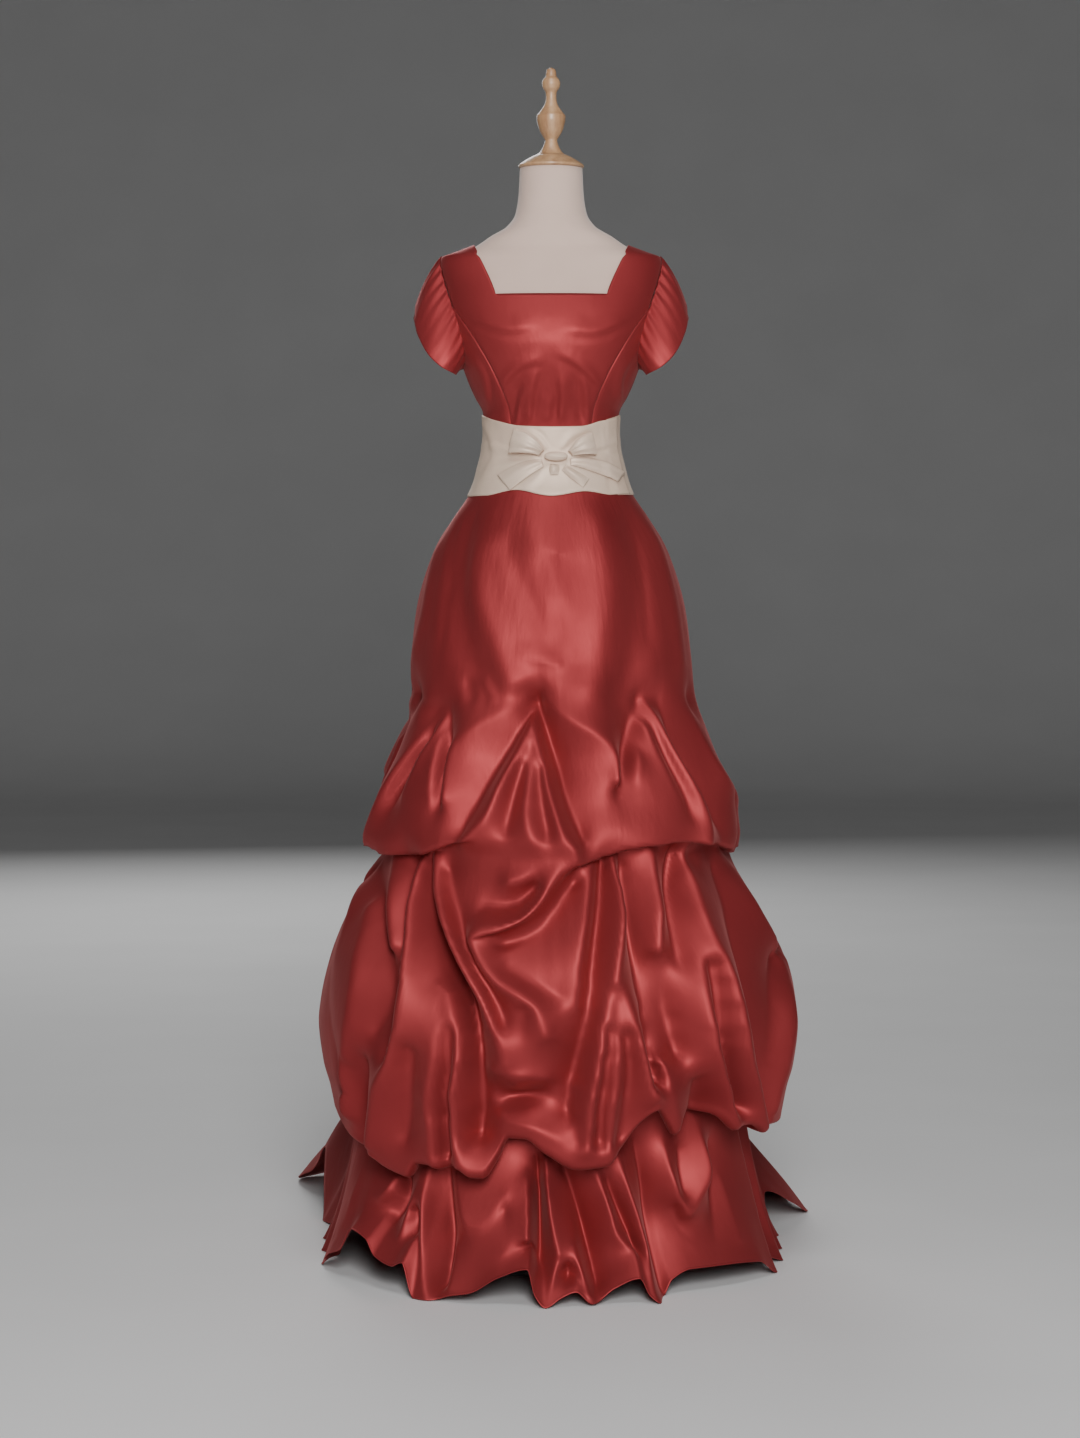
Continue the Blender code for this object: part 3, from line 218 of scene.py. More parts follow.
def crease(aside, below, row, fade_in, fade_out):
    """Rise of one crease: a bell across the route, narrower on the leaning side, less a trough beyond it."""
    rise, start, end, lean, *route = row
    route_aside, route_height = smooth_route(route).T
    gap_aside = aside[..., None] - route_aside
    gap_up = below[..., None] - route_height
    distance = np.sqrt(gap_aside**2 + gap_up**2)
    nearest = distance.argmin(axis=-1)[..., None]
    gap = np.take_along_axis(distance, nearest, -1)[..., 0]
    ahead = unit(np.stack([np.gradient(route_aside), np.gradient(route_height)], -1))
    index = nearest[..., 0]
    cross = np.take_along_axis(gap_aside, nearest, -1)[..., 0] * ahead[index][..., 1]
    cross = cross - np.take_along_axis(gap_up, nearest, -1)[..., 0] * ahead[index][..., 0]
    along = index / (ROUTE_STEPS - 1)
    spread = start + (end - start) * along
    steep = spread * np.where(cross * lean > 0, STEEP_SIDE, SLACK_SIDE)
    fade = np.minimum(1, fade_in + 6 * along) * np.minimum(1, fade_out + 3.5 * (1 - along))
    ridge = np.exp(-((gap / steep) ** 2))
    trough = TROUGH_DEPTH * np.exp(-(((gap - TROUGH_AT * steep) / (TROUGH_WIDTH * steep)) ** 2))
    return rise * fade * (ridge - trough * np.where(cross * lean > 0, 1.0, TROUGH_SLACK))


def creases(aside, below, rows, fade_in, fade_out):
    """Rise of all the creases of a table: rise, start width, end width, lean, then places along each."""
    return sum(crease(aside, below, row, fade_in, fade_out) for row in rows)


print("creases use", ROUTE_STEPS, "steps a route")

# %% [markdown]
# ## From a grid to a cloth piece
# A cloth piece is a grid of points, joined into faces, with a UV map in metres so that thread and
# sheen follow the cloth. The Solidify modifier then gives it the thickness of the real layers.

# %% Cloth from a grid


def grid_normal(grid):
    """Across the step down a column and the step along a row."""
    return unit(np.cross(np.gradient(grid, axis=0), np.gradient(grid, axis=1)))


def cloth_uv(grid):
    """Metres along the middle row and metres down each column, as thread runs in the cloth."""
    across = np.linalg.norm(np.diff(grid, axis=1), axis=-1).mean(axis=0)
    u = np.concatenate([[0], np.cumsum(across)])
    down = np.linalg.norm(np.diff(grid, axis=0), axis=-1).mean(axis=1)
    v = np.concatenate([[0], np.cumsum(down)])
    return np.stack(np.broadcast_arrays(u[None], -v[:, None]), -1)


def grid_faces(rows, columns, closed=False, keep=None):
    """Corner numbers of each cell of a grid, a step down, a step along and back up."""
    index = np.arange(rows * columns).reshape(rows, columns)
    beside = np.roll(index, -1, axis=1) if closed else index[:, 1:]
    start = index if closed else index[:, :-1]
    faces = np.stack([start[:-1], start[1:], beside[1:], beside[:-1]], -1)
    return (faces if keep is None else faces[keep]).reshape(-1, 4)


def face_out(points, faces, outward):
    """The faces, turned round together where the cross of their diagonals doesn't point outwards."""
    first, second, third, fourth = (points[faces[:, corner]] for corner in range(4))
    across = np.cross(third - first, fourth - second)
    return faces[:, ::-1] if (across * outward[faces[:, 0]]).sum() < 0 else faces


def mesh_object(name, points, faces, uv=None, ends=()):
    """A smooth object from points, faces of four corners and end faces, with a UV pair for each point."""
    used, faces = np.unique(faces, return_inverse=True)
    mesh = bpy.data.meshes.new(name)
    mesh.from_pydata(points[used].tolist(), [], faces.reshape(-1, 4).tolist() + list(ends))
    if uv is not None:
        corner = np.empty(len(mesh.loops), np.int32)
        mesh.loops.foreach_get("vertex_index", corner)
        mesh.uv_layers.new(name="UVMap").data.foreach_set("uv", uv[used][corner].astype(np.float32).ravel())
    mesh.shade_smooth()
    obj = bpy.data.objects.new(name, mesh)
    bpy.context.scene.collection.objects.link(obj)
    return obj


def cloth(name, grid, outward, finish, thickness, keep=None):
    """A cloth piece from a grid. Faces turn towards the outward direction, and the wall grows inwards."""
    points = grid.reshape(-1, 3)
    faces = face_out(points, grid_faces(*grid.shape[:2], keep=keep), outward.reshape(-1, 3))
    obj = mesh_object(name, points, faces, cloth_uv(grid).reshape(-1, 2))
    wall = obj.modifiers.new("wall", "SOLIDIFY")
    wall.thickness, wall.offset = thickness, -1.0
    obj.data.materials.append(finish)
    return obj


def closed_body(name, grid, outward, finish, uv=None):
    """A closed body from rings, with a flat face on each end, turned outwards."""
    rows, columns = grid.shape[:2]
    points, faces = grid.reshape(-1, 3), grid_faces(rows, columns, closed=True)
    turned = face_out(points, faces, outward.reshape(-1, 3))
    step = 1 if turned is faces else -1
    ends = [list(range(columns))[::step], list(range((rows - 1) * columns, rows * columns))[::-step]]
    obj = mesh_object(name, points, turned, uv, ends)
    obj.data.materials.append(finish)
    return obj


def declare(obj, node):
    """Put a piece on the root body, and hide the node that it stands for."""
    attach(obj, "root")
    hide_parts(node)


def wear(obj):
    """Declare a cloth piece, named after its node."""
    declare(obj, obj.name.removesuffix("_cloth"))


# %% [markdown]
# ## Satin
# Satin is woven so that long threads lie on its face. It mirrors light in a broad soft band along each
# fold and keeps a deep colour in the hollows. The shader has a deep red base, a wide gloss that is
# longer across the threads, a little sheen, and fine bumps for slubs and for the crinkle of handling.

# %% Node helpers


def linear(*colour):
    """A colour from 0 to 255 as the eye sees it, turned into amounts of light."""
    share = np.array(colour) / 255
    light = np.where(share <= 0.04045, share / 12.92, ((share + 0.055) / 1.055) ** 2.4)
    return (*light.tolist(), 1.0)


def new_material(name):
    """A material with its node tree and its shader."""
    material = bpy.data.materials.new(name)
    material.use_nodes = True
    tree = material.node_tree
    return material, tree, tree.nodes["Principled BSDF"]


def noise(tree, source, scale, detail=2.0, stretch=(1, 1, 1), roughness=0.5):
    """Noise on a coordinate that is scaled along each axis first."""
    mapping = tree.nodes.new("ShaderNodeMapping")
    mapping.inputs["Scale"].default_value = stretch
    tree.links.new(source, mapping.inputs["Vector"])
    node = tree.nodes.new("ShaderNodeTexNoise")
    node.inputs["Scale"].default_value = scale
    node.inputs["Detail"].default_value = detail
    node.inputs["Roughness"].default_value = roughness
    tree.links.new(mapping.outputs["Vector"], node.inputs["Vector"])
    return node.outputs["Fac"]


def ramp(tree, factor, stops):
    """Colours or greys along a factor."""
    node = tree.nodes.new("ShaderNodeValToRGB")
    node.color_ramp.elements[0].position, node.color_ramp.elements[0].color = stops[0]
    node.color_ramp.elements[1].position, node.color_ramp.elements[1].color = stops[-1]
    for place, colour in stops[1:-1]:
        node.color_ramp.elements.new(place).color = colour
    tree.links.new(factor, node.inputs["Fac"])
    return node.outputs["Color"]


def bump(tree, height, distance, strength=1.0, before=None):
    """A bump of this height in metres, on top of the one before it."""
    node = tree.nodes.new("ShaderNodeBump")
    node.inputs["Distance"].default_value = distance
    node.inputs["Strength"].default_value = strength
    tree.links.new(height, node.inputs["Height"])
    if before is not None:
        tree.links.new(before, node.inputs["Normal"])
    return node.outputs["Normal"]


def vary(tree, factor, low, high, socket):
    """An input of the shader that runs between two colours along a noise."""
    tree.links.new(ramp(tree, factor, [(0.3, low), (0.7, high)]), socket)


def settle(shader, **values):
    """Each input set to its value. Its name is written with underscores for spaces."""
    for name, value in values.items():
        shader.inputs[name.replace("_", " ")].default_value = value


def grey(value):
    """A grey as a colour."""
    return (value, value, value, 1.0)


SATIN_DEEP, SATIN_BRIGHT = (138, 46, 49), (150, 54, 56)
print("satin red in light:", [round(v, 3) for v in linear(*SATIN_DEEP)[:3]])

# %% Satin shader


def satin(name, deep, bright, gloss, sheen_tint, crinkle, metal):
    """Satin of two close colours: gloss is two roughnesses, crinkle a bump, metal the mirror share."""
    material, tree, shader = new_material(name)
    uv = tree.nodes.new("ShaderNodeTexCoord").outputs["UV"]
    vary(tree, noise(tree, uv, 3.0, 3.0), linear(*deep), linear(*bright), shader.inputs["Base Color"])
    vary(tree, noise(tree, uv, 9.0, 4.0), grey(gloss[0]), grey(gloss[1]), shader.inputs["Roughness"])
    slub = noise(tree, uv, 900.0, 2.0, stretch=(0.12, 1, 1))
    handling = noise(tree, uv, 26.0, 3.0, stretch=(1, 0.45, 1), roughness=0.55)
    first = bump(tree, slub, 0.00012, 0.5)
    tree.links.new(bump(tree, handling, crinkle, 1.0, first), shader.inputs["Normal"])
    tint = linear(*sheen_tint)
    settle(shader, Metallic=metal, Specular_IOR_Level=0.5, Specular_Tint=tint, Anisotropic=0.35,
           Sheen_Weight=0.12, Sheen_Roughness=0.45, Sheen_Tint=tint)
    return material


SASH_DEEP, SASH_BRIGHT = (211, 184, 163), (221, 198, 178)
dress_satin = satin("dress_satin", SATIN_DEEP, SATIN_BRIGHT, (0.47, 0.56), (255, 175, 172), 0.0009, 0.55)
sash_satin = satin("sash_satin", SASH_DEEP, SASH_BRIGHT, (0.38, 0.48), (255, 240, 224), 0.0006, 0.15)
print("satins:", dress_satin.name, sash_satin.name)

# %% [markdown]
# ## Bodice
# The bodice is cut in seven panels: a front with the square neck, side fronts and side backs that meet
# it in curved princess seams, and two backs closed by a hidden zip. Each panel is the solid's own grid
# made six times finer, so the curves stay where they were cut. The cloth dips into each seam.

# %% Bodice edges: armhole place, angle, height; then princess seam height, half width
ARMHOLE = [
    (0, 90, 1.543),
    (20, 80, 1.527),
    (45, 74, 1.500),
    (70, 69.5, 1.474),
    (78, 68.5, 1.465),
    (100, 65.5, 1.442),
    (125, 65, 1.414),
    (150, 68.5, 1.389),
    (165, 76, 1.377),
    (180, 90, 1.372),
]
PRINCESS = [
    (1.240, 0.057),
    (1.298, 0.063),
    (1.318, 0.068),
    (1.356, 0.084),
    (1.388, 0.101),
    (1.426, 0.124),
    (1.4449, 0.137),
]
SHOULDER_IN = 1.562
NECK_CORNER, NECK_TOP, BACK_NECK = (0.084, 1.481), 0.118, 1.496
JUNCTION = 78
WAIST_SHARE = 4 / 7
BODICE_ROWS = [1.2403, 1.260, 1.282, 1.304, 1.328, 1.352, 1.376, 1.400, 1.424, 1.4449]
STRAP_PLACES = [66, 55, 44, 33, 23, 14, 6, 0]
SIDE_PLACES = [JUNCTION, 102, 124, 145, 163, 180]
INNER_CELLS, STRAP_CELLS = 3, 3
FINER = 6


def bodice_edge():
    """Outer edge of a front or back panel: up the princess seam, then round the armhole to the shoulder."""
    heights = np.array(BODICE_ROWS)
    angles = angle_of(smooth_table(heights, PRINCESS)[0], heights)
    junction_angle, junction_height = smooth_table(JUNCTION, ARMHOLE)
    strap_angles, strap_heights = smooth_table(np.array(STRAP_PLACES), ARMHOLE)
    angles = np.concatenate([angles, [junction_angle], strap_angles])
    return angles, np.concatenate([heights, [junction_height], strap_heights])


def centre_panel(corner_height):
    """Angle and height of a half panel, as rows from waist to shoulder that end on the strap's inner edge."""
    edge_angle, edge_height = bodice_edge()
    rows, corner_row = len(edge_angle), len(BODICE_ROWS) + 1
    corner_angle = float(angle_of(NECK_CORNER[0], corner_height))
    inner_height = edge_height.copy()
    inner_height[corner_row - 1] = (edge_height[corner_row - 2] + corner_height) / 2
    up = np.linspace(0, 1, 200)
    strap_height = corner_height + (SHOULDER_IN - corner_height) * up
    strap_half = NECK_CORNER[0] + (NECK_TOP - NECK_CORNER[0]) * up
    strap_angle = np.linspace(corner_angle, 90, rows - corner_row)
    inner_height[corner_row:] = np.interp(strap_angle, angle_of(strap_half, strap_height), strap_height)
    inner_height[-1] = SHOULDER_IN
    rise = np.clip((edge_height - BODICE_ROWS[0]) / (corner_height - BODICE_ROWS[0]), 0, 1)
    inner_angle = edge_angle * (WAIST_SHARE + (corner_angle / edge_angle[corner_row] - WAIST_SHARE) * rise)
    inner_angle[corner_row:] = strap_angle
    inward = np.linspace(0, 1, INNER_CELLS + 1)[:-1]
    outward = np.linspace(0, 1, STRAP_CELLS + 1)
    spread = (edge_angle - inner_angle)[:, None] * outward
    angle = np.concatenate([inner_angle[:, None] * inward, inner_angle[:, None] + spread], axis=1)
    climb = (edge_height - inner_height)[:, None] * outward
    level = np.repeat(inner_height[:, None], INNER_CELLS, axis=1)
    height = np.concatenate([level, inner_height[:, None] + climb], axis=1)
    edge_half = trunk_point(edge_angle, edge_height)[:, 0]
    climb_share = (inner_height - corner_height) / (SHOULDER_IN - corner_height)
    inner_half = NECK_CORNER[0] + (NECK_TOP - NECK_CORNER[0]) * climb_share
    for column in range(INNER_CELLS + 1, INNER_CELLS + STRAP_CELLS):
        share = (column - INNER_CELLS) / STRAP_CELLS
        middle = angle_of(inner_half * (1 - share) + edge_half * share, height[:, column])
        angle[corner_row:, column] = middle[corner_row:]
        angle[-1, column] = 90
    return angle, height, corner_row


def side_panel():
    """Angle and height between princess seam and side seam, blended from the four edges of the panel."""
    edge_angle, edge_height = bodice_edge()
    rows = len(BODICE_ROWS) + 1
    left = np.stack([edge_angle[:rows], edge_height[:rows]], -1)[:, None]
    top = np.stack(smooth_table(np.array(SIDE_PLACES), ARMHOLE), -1)[None]
    up = np.linspace(0, 1, rows)[:, None, None]
    across = np.linspace(0, 1, len(SIDE_PLACES))[None, :, None]
    right = np.array([[[90, BODICE_ROWS[0]]]]) * (1 - up) + top[:, -1:] * up
    bottom = left[:1] * (1 - across) + right[:1] * across
    blend = left * (1 - across) + right * across + bottom * (1 - up) + top * up
    corners = (left[0] * (1 - across) + right[0] * across) * (1 - up)
    corners = corners + (top[:, :1] * (1 - across) + top[:, -1:] * across) * up
    grid = blend - corners
    return grid[..., 0], grid[..., 1]


print("front panel edge has", len(bodice_edge()[0]), "places")

# %% Bodice creases: rise, start width, end width, lean, then x and height along each
BODICE_CREASES = [
    (0.0030, 0.007, 0.010, 1, (-0.034, 1.290), (-0.031, 1.330), (-0.022, 1.372)),
    (0.0028, 0.006, 0.010, -1, (0.014, 1.290), (0.016, 1.330), (0.014, 1.366)),
    (-0.0030, 0.007, 0.010, 1, (-0.060, 1.288), (-0.056, 1.318), (-0.047, 1.352)),
    (-0.0030, 0.008, 0.011, 1, (0.046, 1.288), (0.043, 1.325), (0.036, 1.362)),
    (0.0024, 0.006, 0.010, 1, (-0.075, 1.345), (-0.045, 1.372), (-0.010, 1.384)),
    (0.0024, 0.006, 0.010, -1, (0.072, 1.345), (0.040, 1.375), (0.008, 1.392)),
    (0.0022, 0.008, 0.014, 1, (-0.112, 1.440), (-0.060, 1.428), (-0.020, 1.436)),
    (0.0022, 0.008, 0.014, -1, (0.110, 1.440), (0.058, 1.424), (0.015, 1.430)),
    (0.0022, 0.006, 0.009, 1, (0.104, 1.320), (0.104, 1.350), (0.122, 1.392)),
    (0.0020, 0.006, 0.009, 1, (-0.096, 1.318), (-0.100, 1.350), (-0.120, 1.392)),
    (0.0018, 0.006, 0.010, 1, (-0.006, 1.290), (-0.004, 1.312), (-0.002, 1.330)),
]
SEAM_DIP, SEAM_SPREAD, BACK_CREASES = 0.0012, 0.0035, 0.6


def edge_distance(grid, side):
    """Metres along each row from the panel's left or right edge."""
    step = np.linalg.norm(np.diff(grid, axis=1), axis=-1)
    run = np.concatenate([np.zeros((len(grid), 1)), np.cumsum(step, axis=1)], axis=1)
    return run if side == "left" else run[:, -1:] - run


def bodice_surface(turn, height):
    """The body line with its creases, the same at the back, and a dip along both side edges."""
    points, normal = trunk_point(turn, height), trunk_normal(turn, height)
    relief = creases(points[..., 0], height, BODICE_CREASES, 0.3, 0.1)
    relief = relief * np.where(np.abs(turn) > 90, BACK_CREASES, 1.0)
    for side in ("left", "right"):
        relief -= SEAM_DIP * np.exp(-((edge_distance(points, side) / SEAM_SPREAD) ** 2))
    return points + normal * relief[..., None], normal


def neck_faces(rows, columns, corner_row, cut_columns):
    """The cells that stay: those over the neck opening go."""
    keep = np.ones((rows - 1, columns - 1), bool)
    keep[corner_row * FINER:, cut_columns] = False
    return keep


BODICE_CLOTH = 0.0016
panel_angle, panel_height, corner_row = centre_panel(NECK_CORNER[1])
fine_angle, fine_height = refine(panel_angle, FINER), refine(panel_height, FINER)
turn = np.concatenate([-fine_angle[:, :0:-1], fine_angle], axis=1)
height = np.concatenate([fine_height[:, :0:-1], fine_height], axis=1)
grid, outward = bodice_surface(turn, height)
middle = slice(STRAP_CELLS * FINER, (STRAP_CELLS + 2 * INNER_CELLS) * FINER)
keep = neck_faces(*turn.shape, corner_row, middle)
bodice_front = cloth("bodice_front_cloth", grid, outward, dress_satin, BODICE_CLOTH, keep=keep)
wear(bodice_front)

# %% Back and side panels
back_angle, back_height, back_corner = centre_panel(BACK_NECK)
back_angle, back_height = refine(back_angle, FINER), refine(back_height, FINER)
side_angle, side_height = (refine(part, FINER) for part in side_panel())
for hand, sign in (("left", 1), ("right", -1)):
    grid, outward = bodice_surface((180 - back_angle) * sign, back_height)
    keep = neck_faces(*back_angle.shape, back_corner, slice(0, INNER_CELLS * FINER))
    piece = cloth(f"bodice_back_{hand}_cloth", grid, outward, dress_satin, BODICE_CLOTH, keep=keep)
    wear(piece)
    for place, angle in (("front", side_angle), ("back", 180 - side_angle)):
        grid, outward = bodice_surface(angle * sign, side_height)
        piece = cloth(f"bodice_side_{place}_{hand}_cloth", grid, outward, dress_satin, BODICE_CLOTH)
        wear(piece)

# %% [markdown]
# ## Petal sleeves
# Each short sleeve is two curved petals. The front one laps over the back one at the shoulder tip, and
# both are gathered a little where they meet the armhole. A petal is the straight way from the armhole
# to its hem, swollen outwards in the middle, with gathers that fade towards the hem.

# %% Sleeve hems: place round the armhole, x, y, z
FRONT_HEM = [
    (0, 0.207, 0.000, 1.466),
    (30, 0.2065, -0.028, 1.443),
    (60, 0.198, -0.050, 1.414),
    (90, 0.184, -0.066, 1.390),
    (120, 0.166, -0.070, 1.374),
    (145, 0.151, -0.062, 1.366),
    (165, 0.145, -0.038, 1.363),
    (180, 0.148, -0.002, 1.366),
]
BACK_HEM = [
    (0, 0.2138, 0.000, 1.4525),
    (30, 0.211, 0.030, 1.435),
    (60, 0.202, 0.052, 1.416),
    (90, 0.188, 0.064, 1.396),
    (120, 0.170, 0.066, 1.382),
    (145, 0.153, 0.058, 1.373),
    (165, 0.145, 0.036, 1.369),
    (180, 0.147, 0.002, 1.368),
]
PETAL_LAP, PETAL_TAPER, FRONT_SHARE = 50, 0.24, 0.85
SLEEVE_PUFF, SLEEVE_CENTRE, PETAL_GAP, LAP = 0.007, (0.160, 0.0, 1.440), 0.0027, 0.0009
SLEEVE_OVER, SLEEVE_LAP = 0.0012, 0.0025
PETAL_STEP, PETAL_ROWS = 2.0, 33
PETAL_CLOTH = 0.0012
GATHER_EVERY, GATHER_RISE, GATHER_LENGTH, GATHER_START, PETAL_SWELL = 15.0, 0.0013, 0.35, 0.05, 0.0016
PUFF_END, PUFF_MOST = 1.2, 0.36  # share times (end - share) is this much at its highest


def petal_grid(front):
    """Points from the armhole to the hem, and their outward direction, on the wearer's left."""
    places = np.arange(-PETAL_LAP, 180 + 0.1, PETAL_STEP)
    front_half = (places >= 0) == front
    angle, height = smooth_table(np.abs(places), ARMHOLE)
    start = trunk_point(np.where(front_half, angle, 180 - angle), height)
    front_hem = np.stack(smooth_table(np.abs(places), FRONT_HEM), -1)
    back_hem = np.stack(smooth_table(np.abs(places), BACK_HEM), -1)
    hem = np.where(front_half[:, None], front_hem, start + (back_hem - start) * FRONT_SHARE)
    length = np.where(places < 0, 1 - (1 - PETAL_TAPER) * (np.abs(places) / PETAL_LAP) ** 1.6, 1.0)
    length = length if front else length / FRONT_SHARE
    on_bodice = trunk_normal(np.where(front_half, angle, 180 - angle), height) * SLEEVE_OVER
    first = start + on_bodice - unit(hem - start) * SLEEVE_LAP
    share = np.linspace(0, 1, PETAL_ROWS)[:, None, None] * length[None, :, None]
    grid = first[None] * (1 - share) + hem[None] * share
    puff = unit((start + hem) / 2 - np.array(SLEEVE_CENTRE))
    upper = np.clip((180 - np.abs(places)) / 60, 0, 1)[None, :, None]
    grid = grid + puff[None] * SLEEVE_PUFF * upper * share * (PUFF_END - share) / PUFF_MOST
    normal = grid_normal(grid)
    if (normal * (grid - np.array(SLEEVE_CENTRE))).sum() < 0:
        normal = -normal
    wave = np.sin(places / GATHER_EVERY * 2 * np.pi + 1.3 * np.sin(places / 31))
    fade = np.exp(-share[..., 0] / GATHER_LENGTH) * np.clip(share[..., 0] / GATHER_START, 0, 1)
    swell = np.sin(places / 47 + 0.6)[None] * np.sin(np.pi * share[..., 0]) * PETAL_SWELL
    grid = grid + normal * (GATHER_RISE * wave[None] * fade + swell)[..., None]
    return (grid if front else grid - normal * PETAL_GAP), normal


for hand, sign in (("left", 1), ("right", -1)):
    for place, front in (("front", True), ("back", False)):
        grid, outward = petal_grid(front)
        mirror = np.array([sign, 1, 1])
        name = f"sleeve_{place}_{hand}_cloth"
        piece = cloth(name, grid * mirror, outward * mirror, dress_satin, PETAL_CLOTH)
        wear(piece)

# %% [markdown]
# ## Sash
# The sash is a wide band of ivory satin with stiffening inside, cut to curve with the waist, so that it
# lies flat with crisp edges. Shallow drag lines run to it from the knot. The front band ends over the
# back band near the wearer's left side.

# %% Sash edges: angle, top height, bottom height
SASH_EDGES = [
    (-180, 1.292, 1.180),
    (-90, 1.303, 1.177),
    (-50, 1.292, 1.178),
    (-25, 1.284, 1.186),
    (0, 1.2825, 1.177),
    (24, 1.2835, 1.184),
    (45, 1.292, 1.179),
    (90, 1.303, 1.180),
    (180, 1.292, 1.180),
]
SATIN, SASH_STEP = 0.0018, 1.5
SASH_END, SASH_LAP, LAP_TURN = 67.5, 52.5, 7.5
SASH_ROLL, ROLL_SHARE, DRAG_EDGE, DRAG_DEEPEST = 0.0009, 0.03, 0.08, -0.0004
# Drag lines: rise, start width, end width, lean, then x and height along each
SASH_CREASES = [
    (0.0022, 0.004, 0.008, 1, (-0.020, 1.238), (-0.055, 1.246), (-0.098, 1.256)),
    (0.0018, 0.004, 0.009, -1, (-0.018, 1.232), (-0.055, 1.226), (-0.100, 1.214)),
    (0.0018, 0.004, 0.008, 1, (0.032, 1.238), (0.062, 1.248), (0.100, 1.262)),
    (0.0014, 0.004, 0.008, -1, (0.030, 1.230), (0.065, 1.236), (0.102, 1.236)),
    (0.0014, 0.004, 0.010, 1, (-0.006, 1.250), (-0.020, 1.266), (-0.050, 1.282)),
    (0.0012, 0.004, 0.010, 1, (0.016, 1.250), (0.030, 1.266), (0.060, 1.282)),
    (0.0012, 0.004, 0.010, 1, (-0.010, 1.220), (-0.028, 1.200), (-0.050, 1.184)),
    (0.0016, 0.006, 0.010, 1, (-0.100, 1.290), (-0.085, 1.245), (-0.110, 1.190)),
    (-0.0016, 0.006, 0.010, 1, (0.082, 1.285), (0.086, 1.240), (0.092, 1.190)),
]


def sash_point(angle, height, lift):
    """A place on the sash: the body line, out by the gap, the cloth and this lift."""
    normal = trunk_normal(angle, height)
    out = LAP + SATIN + np.asarray(lift, float)
    return trunk_point(angle, height) + normal * out[..., None], normal


def sash_band(angles, lift):
    """Rows from the top edge to the bottom edge, raised by the drag lines away from the edges."""
    top, bottom = smooth_table((angles + 180) % 360 - 180, SASH_EDGES)
    share = np.linspace(0, 1, 45)[:, None]
    height = top[None] * (1 - share) + bottom[None] * share
    turn = np.broadcast_to(angles, height.shape)
    relief = creases(trunk_point(turn, height)[..., 0], height, SASH_CREASES, 0.6, 0.2)
    relief = relief * np.clip(np.minimum(share, 1 - share) / DRAG_EDGE, 0, 1)
    relief = np.where(np.abs((turn + 180) % 360 - 180) > 90, BACK_CREASES, 1.0) * relief
    roll = SASH_ROLL * np.exp(-((np.minimum(share, 1 - share) / ROLL_SHARE) ** 2))
    return sash_point(turn, height, lift[None] + np.clip(relief, DRAG_DEEPEST, 1) - roll)


front_turn = np.arange(-90, SASH_END + 0.01, SASH_STEP)
back_turn = np.arange(SASH_LAP, 270 + 0.01, SASH_STEP)
overlap = (SATIN + LAP) * np.clip((front_turn - SASH_LAP + LAP_TURN) / LAP_TURN, 0, 1)
for name, turns, lift in (("belt_front", front_turn, overlap), ("belt_back", back_turn, 0 * back_turn)):
    grid, outward = sash_band(turns, lift)
    piece = cloth(name + "_cloth", grid, outward, sash_satin, SATIN - 0.0002)
    wear(piece)

# %% [markdown]
# ## Bow
# The bow is soft and flat, tied from the same satin: two loops, two long tails, a short tail and the
# end that peeps out under the knot. A ribbon is a route on the sash with a half width at its root,
# middle and end. Pleats run out from the knot and open along it. A loop goes out and comes back above
# itself.

# %% Bow: from, through and to as x and height, then half widths at root, middle and end
BOW = {
    "bow_loop_left": ((-0.0140, 1.2405), (-0.034, 1.2530), (-0.0570, 1.2600), (0.006, 0.016, 0.021)),
    "bow_loop_right": ((0.0275, 1.2400), (0.044, 1.2505), (0.0610, 1.2560), (0.005, 0.015, 0.019)),
    "bow_tail_left": ((-0.0125, 1.2260), (-0.040, 1.2155), (-0.0700, 1.1960), (0.006, 0.012, 0.015)),
    "bow_tail_right": ((0.0275, 1.2275), (0.064, 1.2225), (0.1010, 1.2050), (0.005, 0.010, 0.009)),
    "bow_tail_short": ((0.0185, 1.2195), (0.033, 1.2085), (0.0515, 1.1955), (0.005, 0.007, 0.008)),
    "bow_tongue": ((0.0050, 1.2240), (0.0045, 1.2170), (0.0045, 1.2080), (0.006, 0.0075, 0.006)),
}
BOW_REST, LOOP_REST, LOOP_ROOT, RIBBON = 0.0006, 0.0010, 0.0036, 0.0012
LOOP_PUFF = {"bow_loop_left": 0.013, "bow_loop_right": 0.011}
LOOP_FALL, LOOP_PLEAT, TAIL_CROWN, TAIL_PLEAT = 0.35, 0.0022, 0.0035, 0.0016
BOW_PLEATS = {"bow_loop_left": (2.3, 0.4), "bow_loop_right": (2.1, 2.0), "bow_tail_left": (1.6, 0.9),
              "bow_tail_right": (1.5, 2.4), "bow_tail_short": (1.1, 0.2), "bow_tongue": (0.9, 1.2)}


def bend(first, middle, last, share):
    """A parabola from the first point, through the middle one halfway, to the last."""
    first, middle, last = (np.array(point, float) for point in (first, middle, last))
    control = 2 * middle - (first + last) / 2
    share = share[:, None]
    return first * (1 - share) ** 2 + control * 2 * share * (1 - share) + last * share**2


